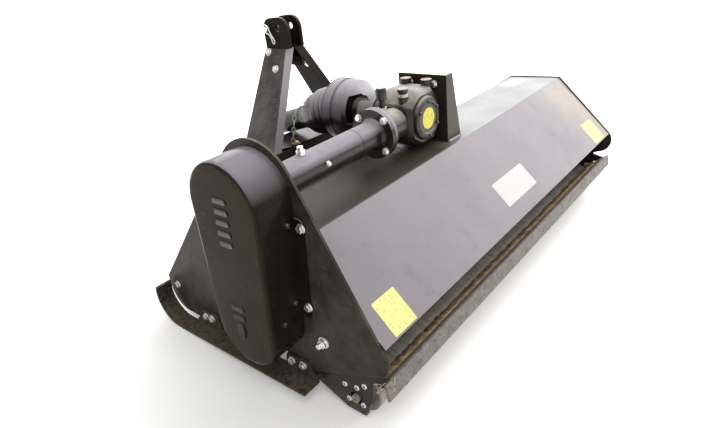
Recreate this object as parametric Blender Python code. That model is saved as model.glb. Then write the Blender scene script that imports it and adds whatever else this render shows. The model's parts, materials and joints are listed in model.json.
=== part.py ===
# Hammer knife mower for a tractor's three-point linkage, parked on its roller and skids.
# Metres. The pieces are drawn in the machine's own frame: +X to the machine's right,
# +Y forward to the tractor, +Z up from the skids' soles, x = 0 midway between the side
# plates. An empty named stance then leans the whole machine onto the ground.

import math

import bmesh
import bpy
from mathutils import Matrix, Vector

for old_object in list(bpy.data.objects):
    bpy.data.objects.remove(old_object)

GAP = 0.0003                 # daylight between pieces that touch
RUNNING = 0.001              # room round a shaft in its bearing

# Driving sizes of the machine
HALF_WIDTH = 0.8775          # x of the side plates' outer faces
SIDE_PLATE = 0.008
HOOD_SHEET = 0.005
PLATE_FOOT = 0.006           # z of the side plates' lower edge
DRIVE_Y, DRIVE_Z = -0.057, 0.579      # drive tube and upper belt pulley
ROTOR_Y, ROTOR_Z = -0.036, 0.210      # rotor and lower belt pulley
ROLLER_Y, ROLLER_Z = -0.300, 0.005
ROLLER_RADIUS = 0.062
LINK_X = -0.178              # middle of the hitch and the power take-off shaft
LINK_SPREAD = 0.412          # lower link balls, either side of LINK_X
TIP_RADIUS = 0.203           # circle of the hammers' tips

INNER_FACE = HALF_WIDTH - SIDE_PLATE
INNER_WIDTH = INNER_FACE - GAP


# Outlines

def arc(centre, radius, start, end, steps):
    """Points of an arc, angles in degrees from the first axis towards the second."""
    points = []
    for step in range(steps + 1):
        angle = math.radians(start + (end - start) * step / steps)
        points.append((centre[0] + radius * math.cos(angle), centre[1] + radius * math.sin(angle)))
    return points


def rounded(corners, closed=True, turn_step=18.0):
    """An outline from corners (u, v, radius), each corner an arc of its own radius."""
    points = []
    count = len(corners)
    for index, (u, v, radius) in enumerate(corners):
        here = Vector((u, v))
        if radius == 0 or (not closed and index in (0, count - 1)):
            points.append((u, v))
            continue
        before = (Vector(corners[index - 1][:2]) - here).normalized()
        after = (Vector(corners[(index + 1) % count][:2]) - here).normalized()
        half = before.angle(after) / 2
        centre = here + (before + after).normalized() * radius / math.sin(half)
        start = here + before * radius / math.tan(half) - centre
        end = here + after * radius / math.tan(half) - centre
        first = math.degrees(math.atan2(start.y, start.x))
        sweep = (math.degrees(math.atan2(end.y, end.x)) - first + 180) % 360 - 180
        steps = max(2, round(abs(sweep) / turn_step))
        points += arc(centre, radius, first, first + sweep, steps)
    return points


def beside(line, distance):
    """An open line moved sideways, to its left for a positive distance."""
    moved = []
    for index, point in enumerate(line):
        here = Vector(point)
        back = here - Vector(line[index - 1]) if index else Vector(line[1]) - here
        ahead = Vector(line[index + 1]) - here if index < len(line) - 1 else back
        left = (back.normalized() + ahead.normalized()).normalized()
        left = Vector((-left.y, left.x))
        stretch = distance / left.dot(Vector((-back.normalized().y, back.normalized().x)))
        moved.append(tuple(here + left * stretch))
    return moved


def sheet(line, thickness):
    """The cross-section of a bent sheet whose right-hand face is the given line."""
    return list(line) + beside(line, thickness)[::-1]


# Solids

def mesh_object(name, points, faces, finish):
    bm = bmesh.new()
    corners = [bm.verts.new(point) for point in points]
    for face in faces:
        bm.faces.new([corners[index] for index in face])
    bmesh.ops.recalc_face_normals(bm, faces=bm.faces)
    mesh = bpy.data.meshes.new(name)
    bm.to_mesh(mesh)
    bm.free()
    mesh.materials.append(finish)
    mesh.shade_smooth()
    mesh.set_sharp_from_angle(angle=math.radians(32))
    piece = bpy.data.objects.new(name, mesh)
    bpy.context.collection.objects.link(piece)
    return piece


def skin(rings, ring_shaped=False, first=0):
    """Faces over a row of rings of equal length, with end caps, or closed into a ring."""
    size = len(rings[0])
    faces = []
    pairs = [(index, index + 1) for index in range(len(rings) - 1)]
    if ring_shaped:
        pairs.append((len(rings) - 1, 0))
    for low, high in pairs:
        for side in range(size):
            beyond = (side + 1) % size
            quad = (low * size + side, low * size + beyond, high * size + beyond, high * size + side)
            faces.append([first + index for index in quad])
    if not ring_shaped:
        last = (len(rings) - 1) * size
        faces.append([first + index for index in range(size)])
        faces.append([first + last + index for index in range(size)])
    return faces


def loft(name, rings, finish, ring_shaped=False):
    points = [point for ring in rings for point in ring]
    return mesh_object(name, points, skin(rings, ring_shaped), finish)


def lofts(name, bodies, finish):
    """Several separate solids in one piece, each given as its rows of rings."""
    points, faces = [], []
    for rings, ring_shaped in bodies:
        faces += skin(rings, ring_shaped, len(points))
        points += [point for ring in rings for point in ring]
    return mesh_object(name, points, faces, finish)


def across(outline, x):
    """A (y, z) outline set at one x."""
    return [(x, y, z) for y, z in outline]


def along(outline, y):
    """An (x, z) outline set at one y."""
    return [(x, y, z) for x, z in outline]


def level(outline, z):
    """An (x, y) outline set at one z."""
    return [(x, y, z) for x, y in outline]


def slab(name, outline, x_from, x_to, finish):
    return loft(name, [across(outline, x_from), across(outline, x_to)], finish)


def turned_rings(profile, centre, axis, sides):
    """Rings of a turned shape: profile of (place along the axis, radius)."""
    rings = []
    for place, radius in profile:
        circle = arc((0, 0), radius, 0, 360, sides)[:-1]
        if axis == "X":
            ring = [(place, centre[0] + u, centre[1] + v) for u, v in circle]
        elif axis == "Y":
            ring = [(centre[0] + u, place, centre[1] + v) for u, v in circle]
        else:
            ring = [(centre[0] + u, centre[1] + v, place) for u, v in circle]
        rings.append(ring)
    return rings


def turned(name, profile, centre, axis, finish, sides=32, ring_shaped=False):
    return loft(name, turned_rings(profile, centre, axis, sides), finish, ring_shaped)


def combine(piece, tool, operation):
    """Cut a tool out of a piece or weld it on; the tool is hidden afterwards."""
    tool.hide_render = True
    tool.display_type = "WIRE"
    step = piece.modifiers.new(operation.title(), "BOOLEAN")
    step.operation = operation
    step.solver = "EXACT"
    step.object = tool
    tool.parent = guides


def drill(piece, holes, axis, span, sides=20):
    """Bore holes (u, v, radius) through a piece, along one axis between two places."""
    bodies = []
    for u, v, radius in holes:
        bodies.append((turned_rings([(span[0], radius), (span[1], radius)], (u, v), axis, sides), False))
    combine(piece, lofts(piece.name + "_drill", bodies, black_paint), "DIFFERENCE")


def paint(name, colour, roughness, metallic=0.0):
    finish = bpy.data.materials.new(name)
    finish.use_nodes = True
    shader = finish.node_tree.nodes["Principled BSDF"]
    shader.inputs["Base Color"].default_value = (*colour, 1)
    shader.inputs["Roughness"].default_value = roughness
    shader.inputs["Metallic"].default_value = metallic
    return finish


black_paint = paint("black_paint", (0.030, 0.028, 0.027), 0.30)
hood_paint = paint("hood_paint", (0.034, 0.032, 0.033), 0.22)
cast_paint = paint("cast_paint", (0.028, 0.027, 0.027), 0.42)
guard_plastic = paint("guard_plastic", (0.022, 0.022, 0.023), 0.38)
curtain_rubber = paint("curtain_rubber", (0.020, 0.019, 0.018), 0.80)
scraper_steel = paint("scraper_steel", (0.24, 0.23, 0.24), 0.42)
worn_steel = paint("worn_steel", (0.16, 0.13, 0.10), 0.55, 0.6)
zinc_plate = paint("zinc_plate", (0.62, 0.61, 0.58), 0.30, 1.0)

guides = bpy.data.objects.new("guides", None)
stance = bpy.data.objects.new("stance", None)
for empty in (guides, stance):
    bpy.context.collection.objects.link(empty)


# Hood: one bent sheet from its rear edge over the top to the front flange

HOOD_LINE = (                # y, z, bend radius of the outer face, rear to front
    (-0.421, 0.225, 0),
    (-0.176, 0.467, 0.012),
    (0.057, 0.459, 0.012),
    (0.470, 0.195, 0.012),
    (0.470, 0.150, 0),
)


def hood_top(y):
    """Height of the hood's flat top at one y."""
    rear, front = HOOD_LINE[1], HOOD_LINE[2]
    return rear[1] + (front[1] - rear[1]) * (y - rear[0]) / (front[0] - rear[0])


def make_hood():
    outer = rounded(HOOD_LINE, closed=False)
    section = sheet(outer, -HOOD_SHEET)
    slab("hood", section, -INNER_WIDTH, INNER_WIDTH, hood_paint)


# Side plates: the left one rises round the upper pulley, the right one follows the hood

NOTCH_Y, NOTCH_HALF, NOTCH_Z = -0.003, 0.048, 0.078     # slot that the rotor goes in by
PLATE_FRONT = (                # y, z, corner radius, from the slot forward to the nose
    (0.532, PLATE_FOOT, 0.082),
    (0.532, 0.1416, 0.012),
)
PLATE_TOPS = {                 # y, z, corner radius, from the nose over the top to the rear
    "left": ((-0.087, 0.829, 0.145), (-0.460, 0.136, 0.052)),
    "right": ((0.480, 0.1944, 0.010), (0.059, 0.4635, 0.010), (-0.180, 0.4715, 0.010),
              (-0.502, 0.150, 0.060)),
}
HEEL_Y = -0.079                # where the rising rear edge meets the foot
SHAFT_HOLE = 0.026


def make_side_plate(side, sign):
    outline = rounded(PLATE_FRONT + PLATE_TOPS[side], turn_step=9.0)
    slot = arc((NOTCH_Y, NOTCH_Z), NOTCH_HALF, 180, 0, 8)
    outline += [(HEEL_Y, PLATE_FOOT), (NOTCH_Y - NOTCH_HALF, PLATE_FOOT)]
    outline += slot + [(NOTCH_Y + NOTCH_HALF, PLATE_FOOT)]
    plate = slab("side_plate_" + side, outline, sign * INNER_FACE, sign * HALF_WIDTH, black_paint)
    ends = sorted((sign * (INNER_FACE - 0.01), sign * (HALF_WIDTH + 0.01)))
    drill(plate, [(ROTOR_Y, ROTOR_Z, SHAFT_HOLE)], "X", ends, 24)


# Belt cover: a deep pressed box, open towards the side plate

COVER_DEPTH = 0.117
COVER_SHEET = 0.003
COVER_TOP, COVER_BOTTOM = 0.126, 0.113        # outer radii round the two pulleys
COVER_EDGE = 0.010
LOUVRES = (                    # y, z of each pressed louvre on the cover's face
    (-0.0575, 0.609), (-0.0560, 0.579), (-0.0525, 0.549), (-0.0500, 0.518), (-0.0480, 0.488),
    (-0.0300, 0.287), (-0.0270, 0.257),
)
LOUVRE_HALF, LOUVRE_HEIGHT, LOUVRE_RISE = 0.025, 0.017, 0.006
PLUG_Y, PLUG_Z, PLUG_HALF_Y, PLUG_HALF_Z = -0.025, 0.207, 0.016, 0.027
STRIP_TOP, STRIP_BOTTOM, STRIP_WIDTH = 0.08, 0.90, 0.034      # bolted strip on the rear side


COVER_FACE = -HALF_WIDTH - COVER_DEPTH
COVER_TURNS = (20, 18)         # steps of the arcs round the upper and the lower pulley


def cover_outline(inset):
    """The round-ended outline round both pulleys, drawn in by an inset."""
    top, bottom = Vector((DRIVE_Y, DRIVE_Z)), Vector((ROTOR_Y, ROTOR_Z))
    way = bottom - top
    heading = math.degrees(math.atan2(way.y, way.x))
    spread = math.degrees(math.acos((COVER_TOP - COVER_BOTTOM) / way.length))
    above, below = COVER_TURNS
    points = arc(top, COVER_TOP - inset, heading + spread, heading - spread + 360, above)
    points += arc(bottom, COVER_BOTTOM - inset, heading - spread, heading + spread, below)
    return points


def louvre_rings(y, z):
    """One pressed louvre, open along its lower edge."""
    top, low = z + LOUVRE_HEIGHT / 2, z - LOUVRE_HEIGHT / 2
    section = ((0.002, top), (0.002, low), (-LOUVRE_RISE, low), (-LOUVRE_RISE, low + 0.003),
               (-0.0005, top))
    rings = []
    for place, size in ((-1, 0.3), (-0.8, 1), (0.8, 1), (1, 0.3)):
        rings.append([(COVER_FACE + (x * size if x < 0 else x), y + place * LOUVRE_HALF, height)
                      for x, height in section])
    return rings


def plug_rings():
    """The oval plug over the hole for reading the belt's tension."""
    oval = arc((0, 0), 1, 0, 360, 20)[:-1]
    rings = []
    for x, size in ((0.002, 1), (-0.003, 1), (-0.005, 0.85)):
        rings.append([(COVER_FACE + x, PLUG_Y + PLUG_HALF_Y * u * size, PLUG_Z + PLUG_HALF_Z * v * size)
                      for u, v in oval])
    return rings


def strip_rings(rim):
    """The flange that bolts the cover's rear side to the side plate."""
    edge = cover_outline(0)
    start, end = Vector(edge[COVER_TURNS[0]]), Vector(edge[COVER_TURNS[0] + 1])
    way = end - start
    out = Vector((way.y, -way.x)).normalized()
    strip = []
    for place, reach, radius in ((STRIP_TOP, -0.002, 0), (STRIP_TOP, STRIP_WIDTH, 0.020),
                                 (STRIP_BOTTOM, STRIP_WIDTH, 0.012), (STRIP_BOTTOM, -0.002, 0)):
        corner = start + way * place + out * reach
        strip.append((corner.x, corner.y, radius))
    return [across(rounded(strip), x) for x in (rim - COVER_SHEET, rim)]


def make_belt_cover():
    rim = -HALF_WIDTH - GAP
    face = COVER_FACE
    rings = [across(cover_outline(COVER_SHEET + COVER_EDGE / 2), face + COVER_SHEET),
             across(cover_outline(COVER_SHEET), face + COVER_SHEET + COVER_EDGE / 2),
             across(cover_outline(COVER_SHEET), rim),
             across(cover_outline(0), rim),
             across(cover_outline(0), face + COVER_EDGE),
             across(cover_outline(COVER_EDGE * 0.3), face + COVER_EDGE * 0.3),
             across(cover_outline(COVER_EDGE), face)]
    cover = loft("belt_cover", rings, black_paint)
    pressings = [louvre_rings(y, z) for y, z in LOUVRES] + [plug_rings(), strip_rings(rim)]
    combine(cover, lofts("cover_pressings", [(rings, False) for rings in pressings], black_paint),
            "UNION")


# Drive: gearbox, its bracket, the drive tube and the power take-off

AXIS_Z = DRIVE_Z - 0.002       # height of the power take-off shaft
CASE_HALF = 0.089
CASE_OUTLINE = (               # x from LINK_X, z from AXIS_Z
    (0.089, 0.060), (0.056, 0.095), (-0.030, 0.095), (-0.055, 0.080), (-0.082, 0.062),
    (-0.089, 0.048), (-0.089, -0.048), (-0.082, -0.062), (-0.055, -0.080), (-0.030, -0.095),
    (0.056, -0.095), (0.089, -0.060),
)
CASE_SECTIONS = (              # y of the section, how much of the outline's size it has
    (-0.118, 0.83),
    (-0.104, 0.95),
    (-0.092, 1.0),
    (0.010, 1.0),
    (0.028, 0.80),
)
CASE_BOSSES = (                # x, y, radius, z of its foot and top
    (-0.118, -0.006, 0.019, 0.650, 0.690),
    (-0.118, -0.088, 0.019, 0.650, 0.690),
    (-0.243, -0.078, 0.017, 0.600, 0.6625),
)
FLANGE_X = -0.378              # joint face between gearbox and drive tube
FLANGE_RADIUS, FLANGE_SHEET = 0.080, 0.014
TUBE_RADIUS, TUBE_WALL = 0.045, 0.005
NOSE_RADIUS = 0.060
NOSE_END = 0.160
SPLINE_RADIUS = 0.0175
GUARD_PROFILE = (              # y, outer radius of the plastic guard, rear to front
    (0.058, 0.068),
    (0.118, 0.074),
    (0.158, 0.104),
    (0.166, 0.109),
    (0.194, 0.110),
    (0.196, 0.1115),
    (0.252, 0.112),
)
GUARD_WALL = 0.004
GUARD_WINDOW = (               # y, z of the opening in the guard's left side
    (0.118, 0.553), (0.150, 0.553), (0.150, 0.646), (0.112, 0.650), (0.076, 0.630),
    (0.118, 0.626),
)
JOINT_Y = 0.258                # the driveline hangs down from the joint here
DROOP = math.radians(16)
DRIVELINE_PROFILE = (          # place along the drooping shaft, outer radius of its cover
    (0.012, 0.078),
    (0.024, 0.088),
    (0.036, 0.082),
    (0.048, 0.088),
    (0.060, 0.082),
    (0.072, 0.088),
    (0.085, 0.083),
    (0.120, 0.078),
    (0.170, 0.050),
    (0.200, 0.043),
    (0.345, 0.042),
)


def make_gearbox():
    axis = (LINK_X, AXIS_Z)
    rings = []
    for y, size in CASE_SECTIONS:
        rings.append([(LINK_X + u * size, y, AXIS_Z + v * size) for u, v in CASE_OUTLINE])
    case = loft("gearbox_case", rings, cast_paint)
    bosses = []
    for x, y, radius, foot, top in CASE_BOSSES:
        bosses.append((turned_rings([(foot, radius), (top, radius)], (x, y), "Z", 16), False))
    combine(case, lofts("gearbox_bosses", bosses, cast_paint), "UNION")
    rear = CASE_SECTIONS[0][0] - GAP
    cap = ((rear, 0.073), (rear - 0.010, 0.071), (rear - 0.014, 0.063), (rear - 0.014, 0.052),
           (rear - 0.011, 0.048))
    turned("gearbox_cap", cap, axis, "Y", cast_paint, 36)
    side = LINK_X - CASE_HALF - GAP
    back = FLANGE_X + FLANGE_SHEET
    neck = ((side, 0.048), (side - 0.004, 0.052), (back + 0.020, 0.052), (back + 0.006, 0.060),
            (back + 0.001, 0.072), (back, FLANGE_RADIUS), (FLANGE_X + GAP, FLANGE_RADIUS))
    turned("gearbox_output", neck, (DRIVE_Y, DRIVE_Z), "X", cast_paint, 36)
    front = CASE_SECTIONS[-1][0] + GAP
    bore = SPLINE_RADIUS + RUNNING
    nose = ((front, NOSE_RADIUS + 0.004), (0.050, NOSE_RADIUS), (NOSE_END, NOSE_RADIUS),
            (NOSE_END, bore), (NOSE_END - 0.018, bore))
    turned("gearbox_input", nose, axis, "Y", cast_paint, 32)


PLUG_TABLE = (                 # name, x, y, foot z, radius of stem, radius of cap, height
    ("gearbox_filler", -0.243, -0.078, 0.6625, 0.015, 0.0185, 0.026),
    ("gearbox_breather", -0.330, -0.057, 0.6313, 0.011, 0.0180, 0.080),
)


def make_plugs():
    for name, x, y, foot, stem, cap, height in PLUG_TABLE:
        profile = ((foot + GAP, stem), (foot + height * 0.5, stem), (foot + height * 0.55, cap * 0.9),
                   (foot + height * 0.92, cap), (foot + height, cap * 0.85))
        turned(name, profile, (x, y), "Z", guard_plastic, 16)
    top = DRIVE_Z + TUBE_RADIUS + GAP
    profile = ((top, 0.013), (top + 0.010, 0.013), (top + 0.011, 0.009), (top + 0.022, 0.009))
    turned("tube_plug", profile, (-0.707, DRIVE_Y), "Z", zinc_plate, 12)


BRACKET_SHEET = 0.008
BRACKET_TOP = 0.698
BRACKET_REAR, BRACKET_FRONT = -0.148, 0.045


def make_gearbox_bracket():
    near = LINK_X + CASE_HALF + GAP
    rings = []
    for fold_x, z in ((0.0, None), (-0.048, BRACKET_TOP)):
        section = ((near, BRACKET_FRONT), (near, BRACKET_REAR), (fold_x, BRACKET_REAR),
                   (fold_x, BRACKET_REAR + BRACKET_SHEET),
                   (near + BRACKET_SHEET, BRACKET_REAR + BRACKET_SHEET),
                   (near + BRACKET_SHEET, BRACKET_FRONT))
        rings.append([(x, y, hood_top(y) + GAP if z is None else z) for x, y in section])
    loft("gearbox_bracket", rings, black_paint)


def make_drive_tube():
    end = -INNER_WIDTH
    bore = TUBE_RADIUS - TUBE_WALL
    face = FLANGE_X - FLANGE_SHEET
    profile = ((FLANGE_X, FLANGE_RADIUS), (face, FLANGE_RADIUS), (face, TUBE_RADIUS + 0.008),
               (face - 0.012, TUBE_RADIUS), (end, TUBE_RADIUS), (end, bore), (FLANGE_X, bore))
    turned("drive_tube", profile, (DRIVE_Y, DRIVE_Z), "X", hood_paint, 40, True)


def hollow(profile, wall):
    """A thin-walled turned profile: out along the outside and back along the inside."""
    return list(profile) + [(place, radius - wall) for place, radius in reversed(profile)]


def make_power_take_off():
    axis = (LINK_X, AXIS_Z)
    seat = NOSE_RADIUS + GAP
    rear = GUARD_PROFILE[0][0]
    profile = [(rear, seat)] + hollow(GUARD_PROFILE, GUARD_WALL)
    profile[-1] = (rear + GUARD_WALL, profile[-1][1])
    profile.append((rear + GUARD_WALL, seat))
    guard = turned("pto_guard", profile, axis, "Y", guard_plastic, 40, True)
    window = slab("guard_window", GUARD_WINDOW, LINK_X - 0.140, LINK_X - 0.030, guard_plastic)
    combine(guard, window, "DIFFERENCE")
    shaft = ((NOSE_END - 0.012, SPLINE_RADIUS), (0.205, SPLINE_RADIUS), (0.208, 0.030), (0.246, 0.030))
    turned("input_shaft", shaft, axis, "Y", worn_steel, 20)


def make_driveline():
    """The half shaft that hangs from the joint, and its cover, which rests on the cross beam."""
    bore = 0.024
    profile = hollow(DRIVELINE_PROFILE, GUARD_WALL)
    end = DRIVELINE_PROFILE[-1][0]
    profile.insert(len(DRIVELINE_PROFILE), (end, bore))
    profile.insert(len(DRIVELINE_PROFILE) + 1, (end - 0.010, bore))
    profile[len(DRIVELINE_PROFILE) + 2] = (end - 0.010, profile[len(DRIVELINE_PROFILE) + 2][1])
    cover = turned("driveline_cover", profile, (0, 0), "Y", guard_plastic, 32, True)
    shaft = ((0.020, 0.030), (0.060, 0.030), (0.064, 0.023), (end + 0.004, 0.023),
             (end + 0.006, 0.030), (end + 0.030, 0.030))
    half = turned("driveline_shaft", shaft, (0, 0), "Y", worn_steel, 20)
    for piece in (cover, half):
        piece.location = (LINK_X, JOINT_Y, AXIS_Z)
        piece.rotation_euler = (-DROOP, 0, 0)


# Hitch: A-frame legs, top link bracket, cross beam, lower link plates and pins

LEG_SHEET = 0.008
LEG_FLANGE = 0.034
LEG_FRONT = 0.563
BEAM_Y, BEAM_Z = (0.392, 0.550), (0.369, 0.4489)
BEAM_WALL = 0.006
LEG_SECTIONS = (               # z, how far the leg's outer face is from LINK_X, y of its rear
    (0.795, 0.0465, 0.452),
    (BEAM_Z[1] + GAP, 0.2453, 0.393),
)
EAR_SHEET = 0.012
EAR_FACE = 0.038               # the ears' outer faces from LINK_X
EAR_OUTLINE = (                # y, z, corner radius
    (0.461, 0.720, 0),
    (0.566, 0.720, 0),
    (0.566, 0.902, 0.040),
    (0.437, 0.910, 0.045),
    (0.437, 0.7955, 0),
    (0.461, 0.7955, 0),
)
EAR_HOLES = ((0.542, 0.865, 0.0131), (0.487, 0.868, 0.0131))
EYE_DROP = 0.0045              # from the chain's lower end to the eye that holds it
LINK_PLATE = 0.012
LINK_GAP = 0.027               # from the middle of the lower link ball to its plates
LINK_PLATE_OUTLINE = (         # y, z, corner radius; its rear edge lies on the hood's front slope
    (0.280, 0.3169, 0),
    (0.392, 0.4489, 0.010),
    (0.552, 0.4489, 0.020),
    (0.578, 0.300, 0.045),
    (0.530, 0.2294, 0.030),
    (0.440, 0.2146, 0),
)
LINK_PIN = (0.525, 0.300)
PIN_RADIUS = 0.014


def leg_section(sign, z, reach, rear):
    """The bent sheet of a leg cut level: an outer web with a flange folded in at its rear."""
    outer = LINK_X + sign * reach
    inner = outer - sign * LEG_SHEET
    fold = outer - sign * (LEG_FLANGE + LEG_SHEET)
    section = ((outer, LEG_FRONT), (outer, rear), (fold, rear), (fold, rear + LEG_SHEET),
               (inner, rear + LEG_SHEET), (inner, LEG_FRONT))
    return level(section, z)


def make_a_frame():
    for side, sign in (("left", -1), ("right", 1)):
        rings = [leg_section(sign, *section) for section in LEG_SECTIONS]
        loft("a_frame_leg_" + side, rings, black_paint)
    outline = rounded(EAR_OUTLINE)
    bodies = []
    for sign in (-1, 1):
        faces = [LINK_X + sign * EAR_FACE, LINK_X + sign * (EAR_FACE - EAR_SHEET)]
        bodies.append(([across(outline, x) for x in sorted(faces)], False))
    bracket = lofts("top_link_bracket", bodies, black_paint)
    tie = EAR_FACE - EAR_SHEET / 2
    web = ((LINK_X - tie, 0.462), (LINK_X + tie, 0.462), (LINK_X + tie, 0.540), (LINK_X - tie, 0.540))
    combine(bracket, loft("bracket_web", [level(web, 0.790), level(web, 0.800)], black_paint), "UNION")
    drill(bracket, EAR_HOLES, "X", (LINK_X - 0.06, LINK_X + 0.06))
    pin = ((LINK_X - 0.056, 0.0105), (LINK_X - 0.053, 0.0125), (LINK_X + 0.0395, 0.0125),
           (LINK_X + 0.0395, 0.019), (LINK_X + 0.048, 0.019))
    turned("top_link_pin", pin, EAR_HOLES[0][:2], "X", zinc_plate, 20)


def make_lower_hitch():
    ends = LINK_SPREAD - LINK_GAP - LINK_PLATE - GAP
    outer = [(BEAM_Y[0], BEAM_Z[0]), (BEAM_Y[1], BEAM_Z[0]), (BEAM_Y[1], BEAM_Z[1]),
             (BEAM_Y[0], BEAM_Z[1])]
    inner = [(BEAM_Y[0] + BEAM_WALL, BEAM_Z[0] + BEAM_WALL), (BEAM_Y[1] - BEAM_WALL, BEAM_Z[0] + BEAM_WALL),
             (BEAM_Y[1] - BEAM_WALL, BEAM_Z[1] - BEAM_WALL), (BEAM_Y[0] + BEAM_WALL, BEAM_Z[1] - BEAM_WALL)]
    left, right = LINK_X - ends, LINK_X + ends
    rings = [across(outer, left), across(outer, right), across(inner, right), across(inner, left)]
    beam = loft("hitch_beam", rings, black_paint, True)
    x, y, top = CHAIN_PATH[-1]
    eye = ((y - 0.012, BEAM_Z[1] - 0.003), (y + 0.012, BEAM_Z[1] - 0.003), (y + 0.008, top - EYE_DROP),
           (y - 0.008, top - EYE_DROP))
    combine(beam, slab("chain_eye", eye, x - 0.003, x + 0.003, black_paint), "UNION")
    outline = rounded(LINK_PLATE_OUTLINE)
    for side, sign in (("left", -1), ("right", 1)):
        middle = LINK_X + sign * LINK_SPREAD
        for place, outward in (("inner", -sign), ("outer", sign)):
            faces = sorted((middle + outward * LINK_GAP, middle + outward * (LINK_GAP + LINK_PLATE)))
            plate = slab(f"lower_link_plate_{side}_{place}", outline, *faces, black_paint)
            drill(plate, [(*LINK_PIN, PIN_RADIUS + 0.0006)], "X", (faces[0] - 0.01, faces[1] + 0.01))
        reach = LINK_GAP + LINK_PLATE + 0.016
        head = LINK_GAP + LINK_PLATE + 0.0006
        pin = ((middle - reach, PIN_RADIUS - 0.002), (middle - reach + 0.003, PIN_RADIUS),
               (middle + head, PIN_RADIUS), (middle + head, PIN_RADIUS + 0.008),
               (middle + head + 0.010, PIN_RADIUS + 0.008))
        if sign > 0:
            pin = [(2 * middle - place, radius) for place, radius in pin]
        turned("lower_link_pin_" + side, pin, LINK_PIN, "X", zinc_plate, 20)


# Skids: a broad runner curled up in front, with lugs up the side plate

SKID_INNER, SKID_OUTER = HALF_WIDTH + 0.008, HALF_WIDTH + 0.066
SKID_SHEET = 0.008
CURL_Y, CURL_RADIUS = 0.430, 0.095
SKID_REAR = -0.170
LUG_LOW, LUG_HIGH = 0.020, 0.064
LUGS = ((-0.142, -0.056), (0.272, 0.356))     # y from, to of each raised lug, rear to front


def make_skid(side, sign):
    line = [(SKID_REAR, 0.0)] + arc((CURL_Y, CURL_RADIUS), CURL_RADIUS, -90, 24, 12)
    runner = slab("skid_" + side, sheet(line, SKID_SHEET), sign * SKID_INNER, sign * SKID_OUTER,
                  black_paint)
    edge = [(SKID_REAR, 0.001)]
    edge += [(0.400, 0.001), (0.390, LUG_LOW)]
    for rear, front in reversed(LUGS):
        edge += [(front + 0.012, LUG_LOW), (front, LUG_HIGH), (rear, LUG_HIGH), (rear - 0.012, LUG_LOW)]
    edge += [(SKID_REAR, LUG_LOW)]
    faces = sorted((sign * (HALF_WIDTH + GAP), sign * (SKID_INNER + 0.001)))
    combine(runner, slab("skid_flange_" + side, edge, *faces, black_paint), "UNION")


# Rear roller with its brackets, bearings and scraper

BRACKET_OUTLINE = (            # y, z, corner radius
    (-0.130, 0.012, 0.006),
    (-0.262, -0.046, 0.012),
    (-0.330, -0.048, 0.012),
    (-0.362, 0.040, 0.020),
    (-0.366, 0.086, 0),
    (-0.4208, 0.092, 0),
    (-0.4188, 0.108, 0),
    (-0.366, 0.120, 0),
    (-0.330, 0.150, 0.010),
    (-0.200, 0.130, 0.010),
)
SIDE_BRACKET = 0.010
ROLLER_END = 0.842
AXLE_RADIUS = 0.0125
AXLE_TIP = 0.877
ROLLER_WALL = 0.006


def make_roller_bracket(side, sign):
    faces = sorted((sign * INNER_WIDTH, sign * (INNER_WIDTH - SIDE_BRACKET)))
    bracket = slab("roller_bracket_" + side, rounded(BRACKET_OUTLINE), *faces, black_paint)
    drill(bracket, [(ROLLER_Y, ROLLER_Z, 0.020)], "X", (faces[0] - 0.01, faces[1] + 0.01), 20)
    seat = INNER_WIDTH - SIDE_BRACKET - GAP
    bore = AXLE_RADIUS + RUNNING
    housing = ((sign * seat, 0.044), (sign * (seat - 0.004), 0.044), (sign * (seat - 0.009), 0.034),
               (sign * (seat - 0.009), bore), (sign * seat, bore))
    turned("roller_bearing_" + side, housing, (ROLLER_Y, ROLLER_Z), "X", cast_paint, 24, True)


def spindle_drum(radius, wall, end, disc, axle, axle_bore, tips):
    """Profile of a hollow drum: end discs carry bored stub axles that reach the two tips."""
    inside = end - disc
    return ((tips[0], axle), (-end, axle), (-end, radius), (end, radius), (end, axle),
            (tips[1], axle), (tips[1], axle_bore), (inside, axle_bore), (inside, radius - wall),
            (-inside, radius - wall), (-inside, axle_bore), (tips[0], axle_bore))


def make_roller():
    profile = spindle_drum(ROLLER_RADIUS, ROLLER_WALL, ROLLER_END, 0.008, AXLE_RADIUS, 0.004,
                           (-AXLE_TIP, AXLE_TIP))
    turned("roller", profile, (ROLLER_Y, ROLLER_Z), "X", worn_steel, 36, True)


SCRAPER_LINE = (               # y, z, bend radius, from the blade's tip up and down the back
    (-0.350, 0.058, 0),
    (-0.418, 0.117, 0.004),
    (-0.424, 0.070, 0),
)


def make_scraper():
    section = sheet(rounded(SCRAPER_LINE, closed=False), -0.006)
    bar = slab("scraper_bar", section, -0.884, 0.884, scraper_steel)
    cut = ((-0.4165, -0.10), (-0.30, -0.10), (-0.30, 0.2), (-0.4165, 0.2))
    bodies = []
    for sign in (-1, 1):
        faces = sorted((sign * (INNER_WIDTH - SIDE_BRACKET - 0.006), sign * 0.90))
        bodies.append(([across(cut, x) for x in faces], False))
    combine(bar, lofts("scraper_cut", bodies, scraper_steel), "DIFFERENCE")


# Rotor: a tube with pairs of lugs, a hammer hung between each pair

DRUM_RADIUS, DRUM_WALL = 0.068, 0.008
DRUM_END = 0.846
SHAFT_RADIUS = 0.025
SHAFT_TIPS = (-0.876, 0.905)
HAMMERS = 24
HAMMER_PITCH = 0.0685
LUG_INNER, LUG_SHEET = 0.0180, 0.010
BOLT_PLACE, BOLT_RADIUS, BOLT_REACH = 0.100, 0.0105, 0.036
HAMMER_SECTIONS = (            # radius, half width along the rotor, half thickness
    (0.086, 0.0165, 0.013),
    (0.100, 0.0170, 0.018),
    (0.142, 0.0170, 0.018),
    (0.162, 0.0440, 0.021),
    (0.192, 0.0470, 0.021),
    (TIP_RADIUS, 0.0470, 0.008),
)


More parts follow.
